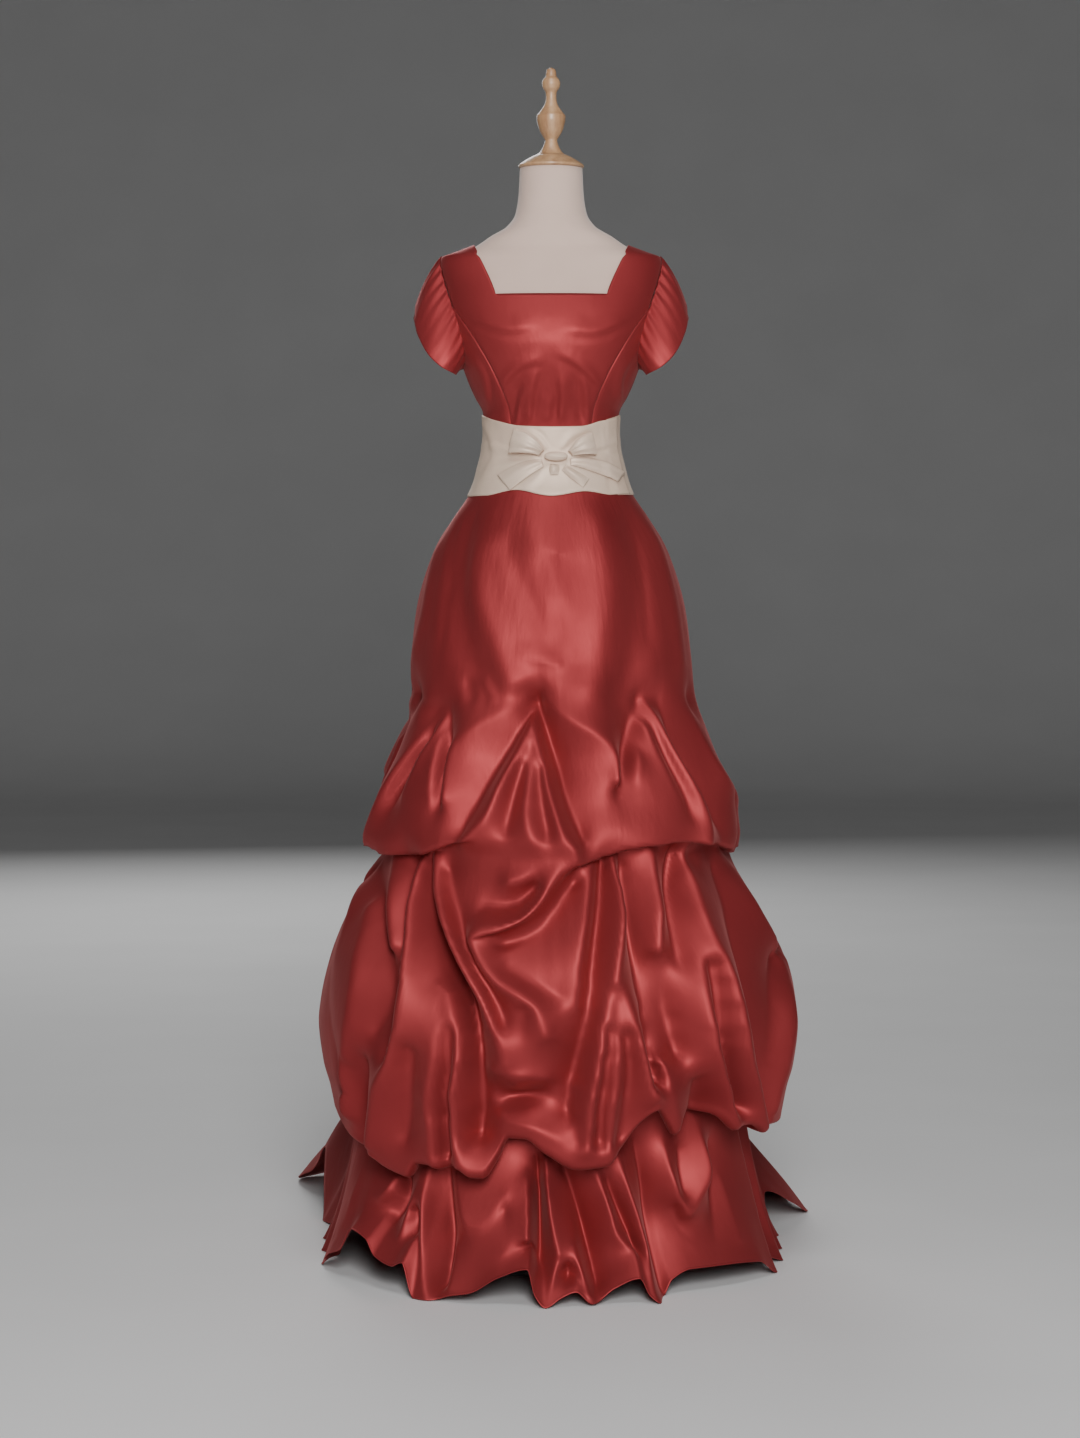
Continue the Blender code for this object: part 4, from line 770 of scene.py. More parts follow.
def ribbon_grid(name):
    """The ribbon's places on the sash, lifted by its loop, its crown and its pleats."""
    first, middle, last, widths = BOW[name]
    puff = LOOP_PUFF.get(name)
    steps = np.linspace(0, 1, 61 if puff else 31)
    share = 1 - np.abs(2 * steps - 1) ** 1.3 if puff else steps
    route = bend(first, middle, last, share)
    ahead = bend(first, middle, last, share + 0.01) - bend(first, middle, last, share - 0.01)
    side = unit(ahead)[:, ::-1] * np.array([-1, 1])
    half = smooth_table(share, list(zip((0, 0.5, 1), widths)))[0]
    across = np.linspace(-1, 1, 25)
    place = route[:, None] + side[:, None] * (half[:, None] * across)[..., None]
    count, phase = BOW_PLEATS[name]
    pleat = 0.5 + 0.5 * np.cos(np.pi * count * across + phase)[None]
    fade = (np.clip(share * 8, 0, 1) * (1 - 0.55 * share))[:, None]
    if puff:
        above = np.clip((steps - 0.46) / 0.08, 0, 1)[:, None]
        swell = puff * np.sin(np.pi * np.clip(share, 0, 1) ** 0.8 * 0.80)[:, None]
        swell = swell * (1 - LOOP_FALL * across**2)
        lift = LOOP_REST + above * (LOOP_ROOT + swell + LOOP_PLEAT * pleat * fade)
    else:
        crown = TAIL_CROWN * np.sin(np.pi * steps)[:, None] * (1 - across**2)
        lift = BOW_REST + RIBBON + crown + TAIL_PLEAT * pleat * fade
    height = place[..., 1]
    angle = angle_of(place[..., 0], height)
    lift = lift + (SATIN + LAP + BOW_REST) * np.clip((angle - SASH_LAP) / LAP_TURN + 1.8, 0, 1)
    grid, outward = sash_point(angle, height, lift)
    if puff:
        outward = np.where((np.arange(len(steps)) < len(steps) // 2)[:, None, None], -outward, outward)
    return grid, outward


for name in BOW:
    grid, outward = ribbon_grid(name)
    piece = cloth(name + "_cloth", grid, outward, sash_satin, RIBBON - 0.0003)
    wear(piece)

# %% [markdown]
# ## Knot
# The knot is the sash's end wrapped once over the middle of the bow. It is a flattened egg whose skin
# has three soft pleats running up over it, deeper near its two ends where the ribbons enter.

# %% Knot
KNOT_CENTRE, KNOT_SIZE, KNOT_ROUND, KNOT_PLEAT = (0.0068, 1.2350), (0.0175, 0.0058, 0.0075), 0.8, 0.10


def knot_grid():
    """An egg: its long half width, height and depth times the sines and cosines, less pleats round it."""
    latitude = np.linspace(-np.pi / 2 + 0.02, np.pi / 2 - 0.02, 41)[:, None]
    longitude = np.linspace(0, 2 * np.pi, 72, endpoint=False)[None]
    half_x, half_y, half_z = KNOT_SIZE
    pleat = 1 - KNOT_PLEAT * np.abs(np.sin(2.5 * longitude + 0.8 * np.sin(latitude) + 0.5)) ** 0.7
    x = half_x * np.sin(latitude) * np.ones_like(longitude)
    z = half_z * np.cos(latitude) ** KNOT_ROUND * np.sin(longitude) * pleat
    out = half_y * np.cos(latitude) ** KNOT_ROUND * np.cos(longitude) * pleat
    angle = np.array(float(angle_of(*KNOT_CENTRE)))
    centre, normal = sash_point(angle, np.array(KNOT_CENTRE[1]), BOW_REST + half_y)
    right = unit(np.cross(normal, np.array([0, 0, 1.0])))
    right = right * np.sign(right[0])
    up = np.cross(right, normal)
    up = up * np.sign(up[2])
    grid = centre + x[..., None] * right + z[..., None] * up + out[..., None] * normal
    return grid, grid - centre


grid, outward = knot_grid()
knot = closed_body("bow_knot_cloth", grid, outward, sash_satin, cloth_uv(grid).reshape(-1, 2))
declare(knot, "bow_knot")
print("knot", [round(2 * size, 4) for size in KNOT_SIZE], "m")

# %% [markdown]
# ## Overskirt
# The overskirt hangs smooth from the waist, then is picked up by hidden stitches in two rows, so that it
# blouses in two tiers. Cloth that is picked up pulls tight: its folds are ridges and troughs that run from
# stitch to stitch, and between them it spans like a tent. So the ridges and troughs are placed one by one
# and the rest is worked out as a stretched sheet that is pinned to them, then softened.
#
# Folds are easiest to list where the eye sees them, so each line is a short run of places in a picture of
# 1080 by 1438 pixels. A pixel is 1.54 mm at the middle of the dress and less in front of it. The depth
# comes from the body line, so place and depth are found together in a few rounds.

# %% From picture to body
PIXEL, PICTURE_X, PICTURE_Y = 0.00154, 551.0, 562.0


def carry(points, depth_at, rounds=6):
    """Angle and height of picture places: x and z by the pixel's size at a depth, then depth by x and z."""
    points = np.array(points, float)
    depth = np.full(len(points), -0.3)
    for _ in range(rounds):
        scale = PIXEL * (1 - depth / EYE[1])
        x, height = (points[:, 0] - PICTURE_X) * scale, EYE[2] - (points[:, 1] - PICTURE_Y) * scale
        turn, depth = depth_at(x, height)
    return np.stack([turn, height], -1)


def skirt_depth(x, height):
    """Angle and y of the body line where it has this x at this height."""
    turn = angle_of(x, height)
    return turn, trunk_point(turn, height)[..., 1]


print("pick-up at the middle:", np.round(carry([(531, 712)], skirt_depth), 3).tolist())

# %% A sheet pinned to lines
LINE_STEPS, LINE_PLACES = 400, (0, 0.12, 0.5, 0.85, 1)
DEGREE, CELL_ASIDE = 0.0055, 0.0043  # metres along the skirt for one degree, and for one cell
SHEET_PASSES, SOFT_PASSES = 220, 8


def soften(level, passes):
    """Each cell becomes the mean of itself, twice, and its two neighbours: first round, then up and down."""
    for _ in range(passes):
        level = (np.roll(level, 1, axis=1) + 2 * level + np.roll(level, -1, axis=1)) / 4
        tall = np.pad(level, ((1, 1), (0, 0)), mode="edge")
        level = (tall[:-2] + 2 * tall[1:-1] + tall[2:]) / 4
    return level


def stretch(level, pinned, value, across, down, passes):
    """Each free cell moves to the mean of its four neighbours, weighted by one over distance squared."""
    side, tall = 1 / across**2, 1 / down**2
    for _ in range(passes):
        edge = np.pad(level, ((1, 1), (0, 0)), mode="edge")
        beside = np.roll(level, 1, axis=1) + np.roll(level, -1, axis=1)
        mean = (side * beside + tall * (edge[:-2] + edge[2:])) / (2 * (side + tall))
        level = np.where(pinned, value, mean)
    return level


def pinned_sheet(rows, columns, lines, across, down):
    """The stretched sheet through lines of (row, column, height), worked out on coarse cells, then finer."""
    pinned, value = np.zeros((rows, columns), bool), np.zeros((rows, columns))
    for row, column, height in lines:
        inside = (row >= 0) & (row < rows)
        cell = row[inside].astype(int), column[inside].astype(int) % columns
        pinned[cell], value[cell] = True, height[inside]
    level = None
    for size in (8, 4, 2, 1):
        blocks = rows // size, size, columns // size, size
        count = pinned.reshape(blocks).sum(axis=(1, 3))
        mean = (value * pinned).reshape(blocks).sum(axis=(1, 3)) / np.maximum(count, 1)
        start = mean if level is None else np.repeat(np.repeat(level, 2, axis=0), 2, axis=1)
        level = stretch(start, count > 0, mean, across * size, down * size, SHEET_PASSES)
    return level


def line_steps(route, heights):
    """Even steps along a route, each with its height in metres from three heights in millimetres."""
    route = np.array(route, float)
    step = np.linalg.norm(np.diff(route, axis=0) * np.array([DEGREE, 1.0]), axis=1)
    length = np.concatenate([[0], np.cumsum(step)])
    share = np.linspace(0, 1, LINE_STEPS)
    path = smooth_table(share * length[-1], np.column_stack([length, route]))
    rise = smooth_table(share, list(zip(LINE_PLACES, np.interp(LINE_PLACES, (0, 0.5, 1), heights))))
    return path[0], path[1], rise[0] / 1000


print("lines have", LINE_STEPS, "steps")

# %% Fold lines of the upper tier: height at start, middle and end in millimetres, then places in the picture
UPPER_FOLDS = [
    ((2, 16, 9), (436, 710), (425, 735), (410, 760), (395, 785), (385, 805), (376, 838)),
    ((2, 13, 6), (440, 720), (430, 745), (418, 770), (406, 795)),
    ((2, 12, 6), (442, 735), (438, 770), (434, 802)),
    ((0, 12, 14), (525, 700), (480, 725), (452, 755), (448, 800)),
    ((4, 20, 16), (531, 718), (517, 755), (502, 785), (492, 810), (477, 830), (462, 841)),
    ((4, 14, 14), (530, 745), (529, 780), (526, 810), (530, 832), (539, 852), (535, 868), (525, 876),
     (508, 882)),
    ((6, 22, 24), (535, 728), (541, 755), (547, 785), (553, 807), (562, 832), (575, 848), (575, 860),
     (560, 873), (545, 890), (535, 905), (520, 917), (500, 922), (480, 928), (473, 940), (477, 955),
     (487, 970), (502, 985), (520, 995), (537, 1012), (546, 1038)),
    ((4, 16, 14), (545, 700), (570, 720), (595, 735), (610, 750), (617, 770), (616, 788)),
    ((0, 8, 4), (637, 750), (633, 775)),
    ((2, 11, 6), (645, 725), (650, 745), (658, 765), (668, 785), (677, 803)),
    ((4, 20, 18), (653, 705), (660, 735), (670, 760), (681, 782), (691, 802), (696, 818), (694, 832),
     (688, 846)),
    ((2, 14, 10), (687, 697), (693, 725), (703, 752), (717, 778), (731, 802), (737, 818)),
    ((-10, -15, -8), (443, 718), (446, 760), (442, 785), (440, 806)),
    ((-8, -12, -6), (432, 735), (418, 758), (401, 785), (392, 805)),
    ((-10, -13, -8), (531, 712), (512, 742), (493, 772), (476, 800), (460, 832)),
    ((-14, -26, -20), (537, 700), (548, 740), (558, 770), (567, 802), (582, 838)),
    ((-14, -22, -12), (648, 700), (635, 730), (625, 760), (617, 792)),
    ((-4, -3, 0), (652, 722), (664, 755), (680, 790), (686, 812)),
    ((-10, -18, -12), (665, 700), (673, 735), (690, 765), (706, 790), (716, 822)),
    ((0, -4, -3), (522, 765), (512, 800), (505, 830)),
    ((0, -2, -2), (540, 765), (542, 800), (548, 835)),
    ((-4, -9, -12), (384, 730), (378, 780), (374, 830)),
    ((0, -2, -4), (728, 740), (738, 780), (744, 830)),
]

# %% Fold lines of the lower tier
LOWER_FOLDS = [
    ((8, 12, 6), (393, 857), (393, 900), (391, 950)),
    ((12, 26, 24), (420, 857), (415, 900), (413, 940), (410, 980), (405, 1020), (399, 1050), (390, 1080),
     (383, 1110), (378, 1150)),
    ((10, 26, 16), (432, 857), (438, 885), (447, 915), (458, 945), (470, 972), (482, 995), (491, 1017),
     (499, 1040), (505, 1070)),
    ((4, 18, 20), (440, 985), (445, 1010), (440, 1050), (436, 1080), (434, 1110), (438, 1140), (440, 1170)),
    ((4, 24, 26), (450, 990), (458, 1020), (462, 1050), (457, 1080), (455, 1110), (458, 1140), (465, 1165),
     (478, 1187), (495, 1191)),
    ((4, 8, 0), (372, 852), (366, 875), (356, 900), (344, 932), (333, 965)),
    ((0, 8, 4), (366, 905), (360, 945), (353, 1000), (343, 1062)),
    ((-6, -8, -8), (324, 975), (322, 1010), (326, 1040), (333, 1070), (340, 1095)),
    ((8, 12, 12), (525, 1012), (520, 1050), (516, 1088)),
    ((10, 16, 8), (592, 862), (588, 890), (583, 930), (578, 970), (575, 1010)),
    ((14, 28, 24), (612, 856), (616, 890), (617, 930), (613, 960), (610, 985)),
    ((14, 26, 28), (608, 990), (601, 1020), (597, 1060), (590, 1100), (585, 1135), (582, 1155)),
    ((12, 20, 26), (615, 1000), (616, 1040), (613, 1070), (608, 1110), (604, 1140), (604, 1158)),
    ((14, 25, 26), (620, 985), (628, 1010), (635, 1040), (642, 1070), (650, 1101)),
    ((12, 13, 2), (652, 857), (656, 900), (660, 955)),
    ((10, 28, 26), (684, 848), (687, 880), (693, 910), (701, 935), (712, 960), (720, 985), (728, 1015),
     (733, 1050), (740, 1080), (747, 1110), (752, 1136)),
    ((4, 20, 20), (694, 932), (698, 965), (703, 1000), (708, 1040), (715, 1070), (722, 1100), (728, 1132)),
    ((4, 15, 12), (715, 845), (730, 870), (745, 900), (760, 925), (778, 955), (788, 990)),
    ((4, 15, 12), (771, 930), (783, 975), (786, 1020), (778, 1075), (768, 1120)),
    ((-6, -14, -10), (756, 880), (772, 925), (779, 975), (781, 1020), (772, 1075)),
    ((4, 13, 14), (659, 1062), (665, 1085), (671, 1110), (676, 1145)),
    ((-6, -20, -16), (373, 870), (372, 900), (376, 930), (380, 960), (382, 1000), (366, 1035)),
    ((-4, -9, -8), (411, 857), (405, 900), (402, 950), (398, 1000), (394, 1030), (385, 1060)),
    ((-18, -34, -30), (354, 1062), (350, 1100), (352, 1148)),
    ((2, 8, 6), (338, 1062), (341, 1090), (342, 1120)),
    ((0, 0, 2), (412, 1050), (410, 1100), (408, 1140)),
    ((-16, -33, -22), (426, 860), (425, 890), (431, 925), (442, 955), (455, 985), (466, 1012), (472, 1050),
     (475, 1100), (475, 1140)),
    ((-4, -6, -2), (445, 870), (453, 908), (464, 940), (479, 973), (494, 1003), (503, 1028)),
    ((0, -8, -10), (450, 1030), (450, 1060), (446, 1100), (447, 1160)),
    ((-4, -10, -6), (480, 908), (515, 905), (538, 886)),
    ((-12, -22, -8), (485, 1104), (515, 1098), (560, 1096)),
    ((6, 16, 8), (490, 1072), (515, 1078), (545, 1082)),
    ((4, 14, 16), (500, 1122), (530, 1128), (560, 1145)),
    ((-6, -2, 0), (500, 947), (530, 937), (560, 905), (575, 882)),
    ((2, 3, 4), (505, 968), (535, 985), (560, 1000)),
    ((-8, -10, -8), (605, 862), (600, 900), (595, 940), (591, 980), (588, 1020)),
    ((-16, -34, -28), (624, 866), (633, 915), (641, 960), (646, 1000), (651, 1030)),
    ((6, 3, 6), (607, 1030), (604, 1060), (599, 1100), (595, 1145)),
    ((4, 0, 2), (623, 1035), (627, 1070), (623, 1110), (615, 1145)),
    ((-8, -18, -12), (588, 1020), (580, 1055), (572, 1090), (568, 1120)),
    ((2, 12, 14), (577, 1088), (580, 1110), (577, 1145)),
    ((-14, -24, -20), (644, 1005), (650, 1040), (653, 1060), (656, 1085)),
    ((-10, -24, -16), (680, 852), (678, 900), (682, 940), (686, 965)),
    ((-4, -10, -10), (710, 965), (717, 1010), (725, 1060), (736, 1110)),
    ((-6, -23, -19), (718, 870), (733, 910), (745, 950), (755, 990), (762, 1030), (766, 1070), (766, 1125)),
    ((-16, -28, -24), (672, 970), (678, 1010), (686, 1060)),
    ((-16, -30, -28), (702, 1085), (708, 1110), (712, 1140)),
]
# Outline from the front: height, then how far the wearer's right and left sides stand out, in millimetres
SIDE_HEIGHTS = [
    (0.860, -4, 0),
    (0.820, -20, 2),
    (0.790, -26, 2),
    (0.760, -20, 3),
    (0.735, -12, 3),
    (0.700, -20, 0),
    (0.660, -22, -2),
    (0.640, -4, 12),
    (0.600, -6, 8),
    (0.540, -4, 6),
    (0.473, -10, 10),
    (0.373, -11, 11),
    (0.300, -11, 12),
    (0.204, -14, 10),
]
SIDE_ANGLES = (82, 90, 97)
# Dents and swells of the bell above: rise, half width, then places in the picture
BELL_FRONT = [
    (0.0065, 0.024, (592, 500), (603, 560), (602, 620), (590, 685)),
    (-0.0075, 0.026, (630, 515), (640, 580), (639, 640), (622, 700)),
    (0.0040, 0.022, (655, 540), (672, 600), (680, 660)),
    (-0.0025, 0.010, (642, 550), (648, 600), (651, 640)),
    (0.0060, 0.020, (498, 500), (481, 550), (479, 590), (492, 632), (512, 680)),
    (-0.0075, 0.024, (470, 515), (459, 560), (457, 610), (468, 660), (488, 695)),
    (-0.0025, 0.009, (454, 530), (447, 590), (441, 640)),
    (0.0035, 0.018, (438, 550), (425, 610), (415, 650)),
    (-0.0030, 0.013, (508, 545), (521, 580), (536, 615), (550, 645)),
    (0.0025, 0.013, (530, 520), (545, 570), (556, 600)),
    (-0.0025, 0.010, (541, 565), (553, 600), (560, 632)),
    (0.0025, 0.009, (524, 655), (540, 658), (556, 664)),
    (-0.0040, 0.010, (466, 684), (470, 698)),
    (0.0030, 0.009, (484, 682), (492, 698)),
    (-0.0030, 0.010, (405, 690), (418, 698), (430, 712)),
]
# The same behind, as angle and height
BELL_BACK = [
    (-0.0065, 0.028, (118, 1.130), (124, 1.020), (122, 0.940)),
    (0.0060, 0.026, (140, 1.140), (142, 1.020), (146, 0.940)),
    (-0.0065, 0.028, (162, 1.130), (159, 1.020), (163, 0.940)),
    (0.0055, 0.026, (-176, 1.140), (-177, 1.020), (-174, 0.940)),
    (-0.0060, 0.028, (-152, 1.130), (-156, 1.020), (-160, 0.940)),
    (0.0060, 0.026, (-136, 1.140), (-138, 1.020), (-143, 0.940)),
    (-0.0060, 0.028, (-114, 1.130), (-117, 1.020), (-124, 0.940)),
    (0.0050, 0.026, (-96, 1.110), (-98, 1.020), (-104, 0.940)),
    (0.0050, 0.026, (98, 1.110), (99, 1.020), (102, 0.940)),
]
# Pick-up stitches: angle, height, depth, radius
STITCHES = [
    (-73, 0.872, 0.012, 0.026),
    (-50, 0.850, 0.013, 0.024),
    (-7, 0.868, 0.016, 0.026),
    (44, 0.872, 0.014, 0.024),
    (75, 0.866, 0.012, 0.026),
    (-86, 0.640, 0.010, 0.026),
    (-48, 0.648, 0.012, 0.024),
    (19, 0.655, 0.010, 0.022),
    (50, 0.640, 0.012, 0.024),
    (80, 0.648, 0.010, 0.026),
    (110, 0.868, 0.016, 0.028),
    (146, 0.874, 0.018, 0.030),
    (-178, 0.868, 0.018, 0.030),
    (-143, 0.872, 0.018, 0.030),
    (-108, 0.864, 0.016, 0.028),
    (115, 0.640, 0.016, 0.028),
    (152, 0.652, 0.018, 0.030),
    (-172, 0.640, 0.018, 0.030),
    (-138, 0.652, 0.018, 0.030),
    (-112, 0.642, 0.016, 0.028),
]
# Pick-up lines, over which the cloth blouses: angle, height
LEFT_LIP = [(-100, 0.652), (-88, 0.640), (-75, 0.658), (-60, 0.646), (-42, 0.652), (-28, 0.669)]
RIGHT_LIP = [(-20, 0.530), (-13, 0.543), (-8, 0.557), (-4, 0.575), (0, 0.602), (4, 0.626), (9, 0.642)]
RIGHT_LIP += [(16, 0.650), (24, 0.660), (34, 0.668), (46, 0.672), (64, 0.655), (82, 0.641)]
BACK_LIP = [(82, 0.641), (100, 0.655), (115, 0.632), (133, 0.660), (152, 0.640), (170, 0.655)]
BACK_LIP += [(188, 0.634), (204, 0.662), (222, 0.642), (236, 0.660), (248, 0.634), (260, 0.652)]
LIP_OUT, LIP_IN, LIP_SAG, LIP_TUCK, LIP_FOLD = 0.014, 0.012, 0.014, 0.006, 0.45
LIP_STEP, LIP_STEP_STEEP, LIP_ABOVE, LIP_BELOW, LIP_DROP, LIP_FADE = 0.030, 0.018, 0.060, 0.045, 0.035, 6
LIP_SOFT = (-20, 8, 0.35)  # from one angle to the other the right lip grows from this share to its full size
print(len(UPPER_FOLDS) + len(LOWER_FOLDS), "placed lines,", len(STITCHES), "stitches")

# %% Folds behind
BACK_FROM = 86
RIDGE_LEANS, TROUGH_LEANS = (-25, -9, 6, 21), (-17, -2, 14)
UPPER_FAN, LOWER_FAN = (0.20, 0.672), (0.36, 0.235)  # drop of a fan, and its lowest height
SWAGS = ((0.868, 0.085), (0.645, 0.13))  # height of a row of stitches, and sag of the cloth between them


def back_lines():
    """Ridges and troughs that fan down from each stitch behind, uneven in lean, reach and height."""
    lines, random = [], np.random.default_rng(7)
    for angle, top, _, _ in STITCHES:
        if abs(angle) < BACK_FROM + 15:
            continue
        drop, low = UPPER_FAN if top > 0.75 else LOWER_FAN
        for leans, sign in ((RIDGE_LEANS, 1), (TROUGH_LEANS, -1)):
            for lean in leans:
                lean = lean + random.uniform(-3.5, 3.5)
                bottom = max(top - drop * random.uniform(0.72, 1.08), low)
                middle = (angle + lean * random.uniform(0.5, 0.75), (top + bottom) / 2)
                tall = sign * random.uniform(14, 23) * (1.0 if abs(angle) > 118 else 0.6)
                route = [(angle + 0.12 * lean, top - 0.014), middle, (angle + lean, bottom)]
                lines.append((route, (0.15 * tall, tall, 0.75 * tall)))
    for level, sag in SWAGS:
        behind = [row for row in STITCHES if abs(row[1] - level) < 0.05 and abs(row[0]) > BACK_FROM - 12]
        turns = sorted(row[0] % 360 for row in behind)
        for first, last in zip(turns, turns[1:]):
            low = level - sag * random.uniform(0.6, 1.0)
            middle = first + (last - first) * random.uniform(0.4, 0.6)
            lines.append(([(first + 3, level - 0.02), (middle, low), (last - 3, level - 0.02)], (4, 13, 4)))
            above = [(first + 6, level + 0.005), (middle, low + 0.045), (last - 6, level + 0.005)]
            lines.append((above, (-4, -9, -4)))
    clear = []
    for route, heights in lines:
        path = line_steps(route, heights)
        away = np.abs((path[0] + 180) % 360 - 180) > BACK_FROM + 20
        clear.append(tuple(part[away] for part in path))
    return clear


SHEET_TOP, SHEET_STEP, SHEET_ROWS, SHEET_COLUMNS, SHEET_FROM = 0.960, 0.004, 208, 480, 0.925
SHEET_END, SHEET_FADE = 0.97, 0.03


def skirt_sheet():
    """The pinned sheet over the whole skirt in cells of 4 mm by 0.75 degrees, then halved and softened."""
    lines = []
    for heights, *places in UPPER_FOLDS + LOWER_FOLDS:
        lines.append(line_steps(carry(places, skirt_depth), heights))
    lines += back_lines()
    level = np.linspace(SIDE_HEIGHTS[0][0], SIDE_HEIGHTS[-1][0], LINE_STEPS)
    right, left = smooth_table(level, SIDE_HEIGHTS)
    for turn in SIDE_ANGLES:
        lines.append((np.full_like(level, -turn), level, right / 1000))
        lines.append((np.full_like(level, turn), level, left / 1000))
    around = np.linspace(-180, 180, SHEET_COLUMNS * 2, endpoint=False)
    for level in np.arange(SHEET_FROM, SHEET_TOP, SHEET_STEP / 2):
        lines.append((around, np.full_like(around, level), 0 * around))
    cells = []
    for turn, height, rise in lines:
        cells.append(((SHEET_TOP - height) / SHEET_STEP, (turn + 180) / 360 * SHEET_COLUMNS, rise))
    level = pinned_sheet(SHEET_ROWS, SHEET_COLUMNS, cells, CELL_ASIDE, SHEET_STEP)
    return soften(np.repeat(np.repeat(level, 2, axis=0), 2, axis=1), SOFT_PASSES)


def read_sheet(level, row, column):
    """The height of a sheet between its cells, by shares of the four cells round a place."""
    rows, columns = level.shape
    row = np.clip(row - 0.5, 0, rows - 1.001)
    column = column - 0.5
    top, left = row.astype(int), np.floor(column).astype(int)
    down, along = row - top, column - left
    near, far = left % columns, (left + 1) % columns
    upper = level[top, near] * (1 - along) + level[top, far] * along
    lower = level[top + 1, near] * (1 - along) + level[top + 1, far] * along
    return upper * (1 - down) + lower * down


SKIRT_SHEET = skirt_sheet()
print("skirt folds from", round(SKIRT_SHEET.min() * 1000), "to", round(SKIRT_SHEET.max() * 1000), "mm")

# %% Folds, stitches and lips together
FOLD_GAIN = [(0.10, 0.35), (0.30, 0.35), (0.60, 0.35), (0.68, 0.20), (1.30, 0.15)]  # height, added share


def fold_relief(angle, height):
    """The pinned sheet at an angle and height, faded out above the tiers and made taller in front."""
    row, column = (SHEET_TOP - height) / SHEET_STEP * 2, (angle + 180) / 360 * SHEET_COLUMNS * 2
    rise = read_sheet(SKIRT_SHEET, row, column) * np.clip((SHEET_END - height) / SHEET_FADE, 0, 1)
    gain = smooth_table(height, FOLD_GAIN)[0] * np.clip((84 - np.abs(angle)) / 12, 0, 1)
    return rise * (1 + gain)


def bell_relief(angle, height, radius):
    """Wide dents and swells on the bell: each a hill along its route."""
    total = np.zeros(angle.shape)
    front = [(rise, width, carry(places, skirt_depth)) for rise, width, *places in BELL_FRONT]
    for rise, width, route in front + [(rise, width, route) for rise, width, *route in BELL_BACK]:
        path = smooth_route(route)
        turn = np.radians((angle[..., None] - path[:, 0] + 180) % 360 - 180) * radius[..., None]
        total += rise * np.exp(-((turn**2 + (height[..., None] - path[:, 1]) ** 2).min(axis=-1)) / width**2)
    return total


def stitch_relief(angle, height, radius):
    """A round dimple at each pick-up stitch."""
    total = np.zeros(angle.shape)
    for turn, level, depth, spread in STITCHES:
        aside = np.radians((angle - turn + 180) % 360 - 180) * radius
        total -= depth * np.exp(-(aside**2 + (height - level) ** 2) / spread**2)
    return total


def lip_relief(angle, height, radius, fold):
    """Moves at the pick-up lines: out above, in below, and down at folds; steep lines move less."""
    out, down = np.zeros(angle.shape), np.zeros(angle.shape)
    for line in (LEFT_LIP, RIGHT_LIP, BACK_LIP):
        first, last = line[0][0], line[-1][0]
        turn = np.where(angle < first - 8, angle + 360, angle) if last > 180 else angle
        level = smooth_table(turn, line)[0]
        climb = smooth_table(turn + 0.5, line)[0] - smooth_table(turn - 0.5, line)[0]
        lean = 1 / np.sqrt(1 + (climb / (np.radians(1) * radius)) ** 2)
        fade = np.clip((turn - first + LIP_FADE) / (2 * LIP_FADE), 0, 1)
        fade = fade * np.clip((last - turn + LIP_FADE) / (2 * LIP_FADE), 0, 1)
        if line is RIGHT_LIP:
            fade = fade * np.interp(turn, LIP_SOFT[:2], (LIP_SOFT[2], 1))
        above = (height - level) * lean
        step = np.clip(above / (LIP_STEP - LIP_STEP_STEEP * lean**4) + 0.5, 0, 1)
        step = step * step * (3 - 2 * step)
        over = np.exp(-np.clip(above, 0, 1) / LIP_ABOVE)
        under = np.exp(-np.clip(-above, 0, 1) / LIP_BELOW)
        sag = LIP_SAG + LIP_FOLD * np.clip(fold, -0.012, 0.03)
        drop = sag * np.exp(-np.clip(above, 0, 1) / LIP_DROP)
        out += fade * (LIP_OUT * over * step - LIP_IN * under * (1 - step))
        down += fade * lean**2 * (drop * step - LIP_TUCK * under * (1 - step))
    return out, down


print("lip stands out", LIP_OUT * 1000, "mm")

# %% Lower edge: places in the picture, then angle and height behind
EDGE_PLACES = [
    (345, 1150), (360, 1163), (378, 1160), (388, 1170), (400, 1177), (411, 1181), (421, 1167), (432, 1168),
    (442, 1172), (453, 1170), (464, 1172), (475, 1180), (486, 1181), (497, 1164), (508, 1142), (524, 1142),
    (545, 1157), (575, 1172), (600, 1169), (620, 1152), (638, 1126), (652, 1112), (662, 1124), (671, 1138),
    (681, 1126), (700, 1116), (715, 1117), (728, 1133), (740, 1127), (752, 1135), (764, 1130),
]
EDGE_BEHIND = [
    (-180, 0.215), (-166, 0.255), (-154, 0.200), (-142, 0.215), (-130, 0.268), (-117, 0.215), (-104, 0.205),
    (-92, 0.240), (86, 0.214), (96, 0.206), (108, 0.258), (122, 0.204), (134, 0.214), (146, 0.264),
    (160, 0.206), (172, 0.222), (180, 0.215),
]
SIDE_SEAM = 99.0
SEAM_RING, RING = 0.330, (0.285, 0.255, 0.385)
SKIRT_TOP, TIER_FROM, EDGE_FROM, ROLL = 1.2397, 0.930, 0.370, 0.012
SKIRT_CLOTH = 0.0012
TOP_ROWS, UPPER_ROWS, LOWER_ROWS, ROLL_ROWS, HIDDEN_ROWS = 26, 118, 34, 9, 4
SEAM_MARGIN = 0.035  # degrees that each piece stops short of its seam
RELIEF_END, RELIEF_FADE = 1.170, 0.035
SKIRT_EDGE = np.concatenate([carry(EDGE_PLACES, skirt_depth), EDGE_BEHIND])


